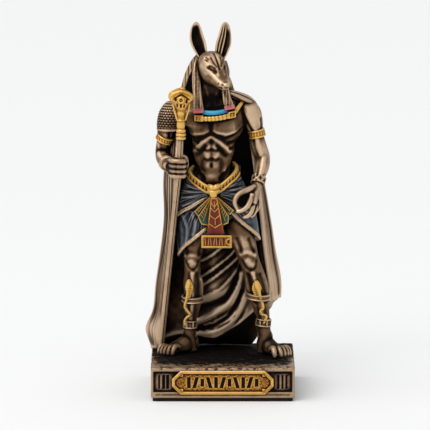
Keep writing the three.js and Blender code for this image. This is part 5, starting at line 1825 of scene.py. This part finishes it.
    def shell(self) -> Shell:
        """The cape's skin: rings from shoulders to hem, out along one face and back along the other."""
        share = (np.linspace(0, 1, self.rings) ** 1.15)[:, None]
        s = np.linspace(0, 1, self.columns)
        s = s - 0.1 * np.sin(2 * math.pi * s)
        faces, tones = [], []
        for outside in (True, False):
            hem = np.maximum(trace(self.hem if outside else self.swag, s)[:, 0], GROUND + 0.05)
            z = self.heights[0] * (1 - share) + hem * share
            place = np.broadcast_to(s, z.shape)
            at = self.plan(place, z)
            for _ in range(self.smoothing):
                at[1:-1] = (at[:-2] + 2 * at[1:-1] + at[2:]) / 4
            out = unit(at - np.array(self.centre))
            fall = np.clip((68 - z) / 30, 0, 1)
            flare = self.flare * bell(z - 13.4, 3.6) * bell(place - 0.2, 0.12)
            if outside:
                lift = flare + self.folds(place, fall, z)
                lift += 0.18 * bell(place, 0.02) + 0.18 * bell(place - 1, 0.02)
            else:
                lift = flare - np.broadcast_to(trace(self.depth, s)[:, 0], z.shape)
            grid = np.concatenate([at + out * lift[..., None], z[..., None]], axis=-1)
            if not outside:
                middle = between(place, (0.14, 0.26), (0.58, 0.68))
                grid[..., 1] -= middle * drawn(grid, self.inner_folds)
                grid[..., 1] -= 0.006 * grain(grid, 2.4, 61)
                upright = (1 - middle) * self.inner_height * (flutes(31 * place) - 0.6) * fall
                grid[..., :2] -= out * upright[..., None]
            tone = self.shade(grid, place, outside) * np.ones(z.shape)
            # The last ring, where the hem meets the ground at the back, is darkened as painted shade.
            tone[-1] -= self.hem_ground_shade * between(s, (0.2, 0.28), (0.7, 0.76))
            faces.append(grid if outside else grid[:, ::-1])
            tones.append(tone if outside else tone[:, ::-1])
        return closed(np.concatenate(faces, axis=1), np.concatenate(tones, axis=1), bridged=True)

    def shade(self, points: Array, place: Array, outside: bool) -> Array:
        """The added tone: the inside is painted shade, dark high up behind the body, and lighter low between
        the legs.
        """
        if outside:
            return 0.08 * self.behind(place)
        z = points[..., 2]
        low = rise(-z, -34.0, -17.0) * between(place, (0.2, 0.34), (0.68, 0.8))
        side = 1 - rise(place, 0.24, 0.36)
        swag = np.interp(place, np.linspace(0, 1, len(self.swag)), np.array(self.swag)[:, 0])
        under = 1 - rise(z - swag, -0.3, 0.5)
        lap = between(place, (0.24, 0.34), (0.66, 0.78)) * (1 - rise(z, 32, 44))
        # Painted shade also darkens the staff side and the space under the swag; the outside is a little
        # lighter behind.
        return 0.22 * low - 0.2 * rise(z, 32, 48) - 0.12 * (1 - lap) - 0.4 * side - 0.4 * under * low

    def shoulder(self) -> Shell:
        """The gathered cloth across the shoulder, with folds that wind round it."""
        rows = (
            (1.0, 1.6, 72.7, 0.7, 0.9, 1.4),
            (2.4, 1.0, 72.5, 0.9, 1.3, 1.7),
            (4.2, 1.3, 71.8, 1.05, 1.7, 2.0),
            (6.0, 2.2, 70.9, 1.05, 1.8, 2.2),
            (7.4, 3.6, 69.6, 0.9, 1.4, 1.8),
        )

        def gathers(points: Array, out: Array) -> Array:
            turn = np.arctan2(out[..., 2], -out[..., 1])
            return 0.42 * (flutes(3.2 * turn + 0.3 * points[..., 0]) - 0.5)

        return limb(rows, 70, 110, dome=0.4, relief=gathers)

    def pieces(self) -> list[Piece]:
        """The cape and its shoulder."""
        return [
            Piece("cape", self.shell(), CLOTH_BRONZE),
            Piece("cape_shoulder", self.shoulder(), CLOTH_BRONZE),
        ]


# The staff


@dataclass
class Staff:
    """The bowed shaft, the ringed gold neck and the hooded gold head with a small animal's face."""

    shaft: tuple = (
        (-9.95, -6.0, 70.0, 0.7), (-10.2, -5.9, 62.6, 0.72), (-10.5, -5.1, 55.7, 0.74),
        (-11.4, -3.1, 47.0, 0.74), (-12.4, -0.6, 37.0, 0.74), (-13.6, 2.4, 25.0, 0.74),
        (-15.2, 6.4, 8.5, 0.74),
    )
    base: tuple = (-10.1, -5.95, 62.6)
    profile: tuple = (
        (0.0, 1.12), (0.28, 1.2), (0.55, 1.12), (0.7, 0.92), (0.85, 1.12), (1.15, 1.2), (1.45, 1.12),
        (1.6, 0.92), (1.75, 1.1), (2.1, 1.16), (2.4, 1.05), (2.6, 0.92), (3.4, 1.02), (4.4, 0.98),
        (4.7, 1.12), (5.0, 0.9), (5.6, 0.86), (6.4, 0.98), (7.4, 0.95),
    )
    hood: tuple = (
        (-10.0, -5.9, 69.2, 1.0, 0.9, 0.9),
        (-10.0, -6.0, 70.3, 1.4, 1.2, 1.0),
        (-10.0, -6.0, 71.4, 2.1, 1.4, 1.2),
        (-10.0, -6.0, 72.4, 2.95, 1.3, 1.2),
        (-10.0, -6.0, 73.2, 3.1, 1.15, 1.2),
        (-9.9, -5.9, 73.9, 2.6, 1.0, 1.1),
        (-9.8, -5.8, 74.5, 1.6, 0.8, 0.9),
        (-9.7, -5.8, 74.9, 0.7, 0.5, 0.6),
    )
    prong: tuple = ((1.95, 71.2), (1.75, 70.0), (1.35, 68.6), (1.0, 67.4))
    pits: tuple = (
        Stroke(((-11.7, 72.7), (-11.5, 72.3)), 0.3, -0.35),
        Stroke(((-8.5, 72.2), (-8.6, 71.8)), 0.3, -0.35),
        Stroke(((-10.1, 71.1), (-10.1, 70.6)), 0.26, -0.35),
        Stroke(((-11.1, 71.2), (-11.0, 70.8)), 0.22, -0.28),
        Stroke(((-9.2, 71.0), (-9.3, 70.6)), 0.2, -0.25),
        Stroke(((-12.7, 73.1), (-11.6, 73.9), (-9.9, 74.4), (-8.4, 73.9), (-7.3, 73.1)), 0.3, 0.25),
        Stroke(((-12.0, 72.4), (-10.0, 73.5), (-8.0, 72.4)), 0.22, -0.25),
    )

    def neck(self) -> Shell:
        """The turned neck: a smooth profile of height and radius carried round the shaft."""
        rows = trace(self.profile, np.linspace(0, 1, 84))
        turn = 2 * math.pi * np.arange(36) / 36
        x = self.base[0] + rows[:, 1, None] * np.cos(turn)
        y = self.base[1] + rows[:, 1, None] * np.sin(turn)
        z = self.base[2] + np.broadcast_to(rows[:, 0, None], x.shape)
        return closed(np.stack([x, y, z], axis=-1))

    def ring(self) -> Shell:
        """The small ring on the hood, as a closed coil of one turn."""
        turn = np.linspace(0, 2 * math.pi, 25)
        rows = [(-10.05 + 0.62 * math.cos(a), -7.45, 72.3 + 0.66 * math.sin(a), 0.24) for a in turn]
        return rod(rows, 60, 14)

    def pieces(self) -> list[Piece]:
        """The shaft and the gold head."""
        prongs = [
            rod([(-10.0 + side * x, -6.1, z, 0.26) for x, z in self.prong], 30, 12) for side in (-1, 1)
        ]
        head = limb(self.hood, 72, 76, dome=0.3, relief=lambda p, n: drawn(p, self.pits))
        dot = rod(((-10.05, -7.3, 72.3, 0.2), (-10.05, -7.4, 72.25, 0.2)), 6, 12)
        shaft = rod(self.shaft, 140, 32, relief=lambda p, n: -0.12 * bell(n[..., 0] - 0.3, 0.1))
        return [
            Piece("staff_shaft", shaft, BRONZE, darker=0.13),
            Piece("staff_head", joined([self.neck(), head, self.ring(), dot, *prongs]), GOLD, darker=0.05),
        ]


# The plinth


@dataclass
class Plinth:
    """The low plinth with sunk panels, rough ground on top and a gold plaque in front."""

    width: float = 34.8
    depth: float = 31.7
    corner: float = 0.8
    bottom: float = 0.9
    panel: tuple[float, float] = (2.3, 7.35)
    post: float = 0.6
    recess: float = 0.35
    plaque_half: float = 12.3
    plaque_heights: tuple[float, float] = (1.7, 7.6)
    chamfer: float = 2.1
    proud: float = 0.25
    rim: float = 0.75
    sunk: float = 0.3
    side_marks: tuple = (-15.4, -14.3, -13.3, 13.4, 14.4, 15.4)
    mark_middle: float = 4.8
    mark_depth: float = 0.32
    rivet: tuple[float, float] = (10.0, 1.95)
    side_rings: int = 40
    top_rings: int = 50
    plaque_grid: tuple[int, int] = (230, 60)
    plaque_depth: float = 0.9
    strokes: int = 11
    first_stroke: float = -8.2
    stroke_step: float = 1.64
    stroke_depth: float = 0.2
    stroke_tone: float = 0.9

    def outline(self, count: int = 420) -> tuple[Array, Array]:
        """The rounded rectangle in plan, evenly spaced, with its outward directions."""
        t = np.linspace(0, 1, count, endpoint=False)
        x, y = self.width / 2, self.depth / 2
        arcs, normals = [], []
        for k, (cx, cy) in enumerate(((x, -y), (x, y), (-x, y), (-x, -y))):
            centre = np.array([cx - math.copysign(self.corner, cx), cy - math.copysign(self.corner, cy)])
            turn = np.linspace(-math.pi / 2 + k * math.pi / 2, k * math.pi / 2, 9)
            normal = np.stack([np.cos(turn), np.sin(turn)], axis=1)
            arcs.append(centre + self.corner * normal)
            normals.append(normal)
        ring, out = np.concatenate(arcs), np.concatenate(normals)
        ring, out = np.concatenate([ring, ring[:1]]), np.concatenate([out, out[:1]])
        gone = np.concatenate([[0], np.cumsum(np.linalg.norm(np.diff(ring, axis=0), axis=1))])
        place = t * gone[-1]
        points = np.stack([np.interp(place, gone, ring[:, k]) for k in range(2)], axis=1)
        out = np.stack([np.interp(place, gone, out[:, k]) for k in range(2)], axis=1)
        return points, unit(out)

    def carving(self, x: Array, y: Array, out: Array, z: Array) -> Array:
        """How deep the sides are cut: a panel on each, less a post at each corner, and the marks in front."""
        side = np.abs(out[..., 1]) > 0.7
        run = np.where(side, np.abs(x), np.abs(y))
        reach = np.where(side, self.width / 2, self.depth / 2) - self.post
        inside = rise(reach - run, -0.08, 0.08)
        low, high = self.panel
        upright = between(z, (low - 0.08, low + 0.08), (high - 0.1, high + 0.1))
        cut = self.recess * inside * upright
        front = (out[..., 1] < -0.7) & (np.abs(x) > self.plaque_half)
        marks = np.zeros_like(z)
        for at in self.side_marks:
            marks = np.maximum(marks, within(x - at, 0.14, 0.3) * within(z - self.mark_middle, 1.5, 1.75))
        return cut + self.mark_depth * marks * front

    def body(self) -> Shell:
        """The plinth: rings from the middle of its underside, up its sides and in over the rough top."""
        ring, out = self.outline()
        under = np.stack([ring * k for k in (LEAST_SHRINK, 0.5, 0.96)])
        under = np.concatenate([under, np.full((*under.shape[:2], 1), self.bottom)], axis=-1)
        z = np.linspace(self.bottom, GROUND, self.side_rings)[:, None] * np.ones((1, len(ring)))
        x, y = ring[:, 0] * np.ones_like(z), ring[:, 1] * np.ones_like(z)
        cut = self.carving(x, y, np.broadcast_to(out, (*z.shape, 2)), z)
        base = np.stack([x, y, z], axis=-1)
        lip = 0.14 * rise(z, GROUND - 0.35, GROUND) + 0.14 * (1 - rise(z, self.bottom, self.bottom + 0.3))
        wear = 0.05 * grain(base, 1.6, 81) + 0.025 * grain(base, 0.6, 82)
        wear *= 0.15 + rise(z, GROUND - 0.9, GROUND - 0.3)
        sides = base.copy()
        sides[..., :2] -= out * (cut + lip - np.minimum(wear, 0.06))[..., None]
        top = ring[None] * (1 - 0.97 * np.linspace(0.012, 1, self.top_rings) ** 1.2)[:, None, None]
        flat = np.concatenate([top, np.full((*top.shape[:2], 1), GROUND)], axis=-1)
        height = 0.07 * grain(flat, 3.2, 83) + 0.026 * grain(flat, 1.3, 84) + 0.012 * grain(flat, 0.6, 85)
        flat[..., 2] += np.clip(height, -0.3, 0.22) - 0.12
        whole = np.concatenate([under, sides, flat])
        shade = np.zeros(whole.shape[:2])
        edge = np.minimum(self.width / 2 - np.abs(flat[..., 0]), self.depth / 2 - np.abs(flat[..., 1]))
        front = self.depth / 2 + flat[..., 1]
        # The top is lighter along its edges towards the front and on a strip along the front: partly wear and
        # partly painted light where the light falls. The back edge under the cape is not lightened.
        edge_wear_and_light = (1 - rise(edge, 0.3, 2.6)) * rise(-flat[..., 1], -4.0, 10.0)
        worn = np.maximum(edge_wear_and_light, 1 - rise(front, 2.6, 8.0))
        shade[-len(flat):] = 0.66 * worn + 0.08 * (1 - rise(front, 4.0, 14.0)) - 0.38
        shade[len(under):len(under) + len(sides)] = -0.4 * rise(cut, 0.4, 0.55)
        return closed(whole, shade)

    def plaque(self) -> Shell:
        """The eight-sided plaque: a raised rim, a stippled field and a row of plain cut strokes."""
        half, cut = self.plaque_half, self.chamfer
        low, high = self.plaque_heights
        middle = (low + high) / 2

        def inset(x: Array, z: Array) -> Array:
            flat = np.minimum(half - np.abs(x), (high - low) / 2 - np.abs(z - middle))
            slant = (half + (high - low) / 2 - cut - np.abs(x) - np.abs(z - middle)) / math.sqrt(2)
            return np.minimum(flat, slant)

        def cut_strokes(x: Array, z: Array) -> Array:
            total = np.zeros_like(x)
            for k in range(self.strokes):
                at = self.first_stroke + self.stroke_step * k
                lean = (0.0, 0.28, 0.0, -0.28)[k % 4]
                tall = (1.2, 1.2, 0.8, 1.2)[k % 4]
                near = within(x - at - lean * (z - middle), 0.32, 0.48)
                total = np.maximum(total, near * within(z - middle, tall, tall + 0.22))
            return total

        columns, rows = self.plaque_grid
        x = np.linspace(-half, half, columns)[:, None] * np.ones((1, rows))
        tall = (high - low) / 2 - np.maximum(np.abs(x) - half + cut, 0)
        z = middle + tall * np.linspace(-1, 1, rows)
        edge = inset(x, z)
        along, up = self.rivet
        rivets = within(np.abs(x) - along, 0.35, 0.5) * within(np.abs(z - middle) - up, 0.35, 0.5)
        field = rise(edge, self.rim - 0.1, self.rim + 0.15) * (1 - rivets)
        spots = np.stack([x, 0 * x, z], axis=-1)
        stipple = 0.014 * grain(spots, 0.5, 91) + 0.012 * grain(spots, 1.2, 92)
        round_rim = -0.25 * (1 - np.sqrt(np.clip(edge / 0.3, 0, 1)))
        cuts = cut_strokes(x, z)
        lift = round_rim - self.sunk * field + field * stipple - self.stroke_depth * cuts
        tone = -self.stroke_tone * cuts - 0.3 * bell(edge - self.rim - 0.12, 0.14) + 0.04 * field
        front = -self.depth / 2 - self.proud
        face = np.stack([x, front - lift, z], axis=-1)
        back = np.stack([x, np.full_like(x, front + self.plaque_depth), z], axis=-1)
        both = np.concatenate([face, back[:, ::-1]], axis=1)
        return closed(both, np.concatenate([tone, 0 * tone], axis=1), bridged=True)

    def pieces(self) -> list[Piece]:
        """The plinth's body and its plaque."""
        return [
            Piece("plinth_body", self.body(), EARTH, "plinth", darker=0.035),
            Piece("plinth_plaque", self.plaque(), GOLD, "plinth"),
        ]


# The stage


@dataclass
class Studio:
    """A pale floor, soft light and the camera at the photograph's angle."""

    target: tuple[float, float, float] = (-1.88, 0.0, 43.1)
    elevation: float = 9.3
    distance: float = 1100.0
    lens: float = 378.3
    sensor: float = 36.0
    clip: tuple[float, float] = (0.05, 20.0)
    floor: float = 12.0
    paper: tuple[float, float, float] = (0.855, 0.86, 0.855)
    sky: tuple[float, float, float] = (0.95, 0.955, 0.96)
    sky_strength: float = 0.7
    sun_from: tuple[float, float, float] = (-0.5, -0.35, 1.0)
    sun_strength: float = 1.45
    sun_spread: float = 60.0
    key_place: tuple[float, float, float] = (-0.3, -0.45, 0.45)
    key_size: float = 0.3
    key_power: float = 0.6
    figure_middle: tuple[float, float, float] = (0.0, 0.0, 0.045)

    def camera(self) -> None:
        """Sets the camera on the line through the target at the elevation."""
        angle = math.radians(self.elevation)
        data = bpy.data.cameras.new("photo_camera")
        data.lens, data.sensor_width = self.lens, self.sensor
        data.clip_start, data.clip_end = self.clip
        back = Vector((0.0, -math.cos(angle), math.sin(angle)))
        camera = aimed("photo_camera", data, -back)
        camera.location = (Vector(self.target) + back * self.distance) * MM
        bpy.context.scene.camera = camera

    def key(self) -> None:
        """A square area light that looks at the figurine's middle."""
        data = bpy.data.lights.new("key_light", "AREA")
        data.shape, data.size, data.energy = "SQUARE", self.key_size, self.key_power
        place = Vector(self.key_place)
        aimed("key_light", data, Vector(self.figure_middle) - place).location = place

    def sun(self) -> None:
        """A broad, even light from above, its spread in degrees."""
        data = bpy.data.lights.new("soft_sun", "SUN")
        data.energy, data.angle = self.sun_strength, math.radians(self.sun_spread)
        aimed("soft_sun", data, Vector(self.sun_from), "Z")

    def build(self) -> None:
        """The floor, the soft lights, a pale world and the camera."""
        mesh = bpy.data.meshes.new("studio_floor")
        half = self.floor / 2
        corners = [(-half, -half, 0), (half, -half, 0), (half, half, 0), (-half, half, 0)]
        mesh.from_pydata(corners, [], [(0, 1, 2, 3)])
        paper = bpy.data.materials.new("studio_paper")
        paper.use_nodes = True
        shader = paper.node_tree.nodes["Principled BSDF"]
        shader.inputs["Base Color"].default_value = (*self.paper, 1)
        shader.inputs["Roughness"].default_value = 0.9
        mesh.materials.append(paper)
        floor = placed("studio_floor", mesh)
        self.sun()
        self.key()
        world = bpy.data.worlds.new("studio_world")
        world.use_nodes = True
        background = world.node_tree.nodes["Background"]
        background.inputs["Color"].default_value = (*self.sky, 1)
        background.inputs["Strength"].default_value = self.sky_strength
        bpy.context.scene.world = world
        bpy.context.scene.view_settings.view_transform = "Standard"
        self.camera()


def dress_pad() -> None:
    """Gives the pad's own solid a matt black finish with a fine grain."""
    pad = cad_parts["base_pad"]
    finish = Finish(
        "black_rubber", Slot.PAD, (0.006, 0.005, 0.005), (0.008, 0.007, 0.006), (0.012, 0.01, 0.009),
        (0.03, 0.027, 0.025), metallic=0.0, smooth=0.8, rough=0.95, bump=0.4,
    )
    pad.data.materials.clear()
    pad.data.materials.append(finish.material())


def figurine() -> list[Piece]:
    """Every piece of the figurine, from the head down to the plinth."""
    head = Head()
    staff_side = head.ear(head.staff_ear, (0.25, -1, 0.1), (0.0, 0.74, 0.86), (0.86,))
    open_side = head.ear(head.free_ear, (0.5, -0.9, 0.1), (-0.5, 0.42, 0.72), (0.0, 0.5))
    body = fused([*Trunk().shells(), *StaffArm().shells(), *OpenArm().shells()], BODY_VOXEL)
    legs = fused([*STAFF_LEG.shells(), *FREE_LEG.shells()], LEG_VOXEL)
    return [
        Piece("head", fused(head.shells(), HEAD_VOXEL), BRONZE, wash_and_painted_light=head.wash_and_painted_light()),
        Piece("ear_staff_side", staff_side, BRONZE),
        Piece("ear_open_side", open_side, BRONZE),
        Piece("torso_and_arms", body, BRONZE, wash_and_painted_light=Trunk.wash_and_painted_light + OpenArm.wash_and_painted_light, darker=0.03),
        Piece("legs_and_feet", legs, BRONZE, wash_and_painted_light=Leg.wash_and_painted_light, darker=0.045),
        *Headcloth().pieces(),
        *Collar().pieces(),
        *Armour().pieces(),
        *Kilt().pieces(),
        *Sash().pieces(),
        *ShinWear().pieces(),
        *Cape().pieces(),
        *Staff().pieces(),
        *Plinth().pieces(),
    ]


def main() -> None:
    """Builds every piece, paints it and sets the stage."""
    logging.basicConfig(level=logging.INFO, format="%(name)s: %(message)s")
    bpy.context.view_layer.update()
    pieces = figurine()
    hollows = Hollows()
    hollows.measure([piece.shell for piece in pieces])
    materials: dict[str, bpy.types.Material] = {}
    for piece in pieces:
        piece.make(hollows, materials)
    dress_pad()
    Studio().build()


if __name__ == "__main__":
    main()
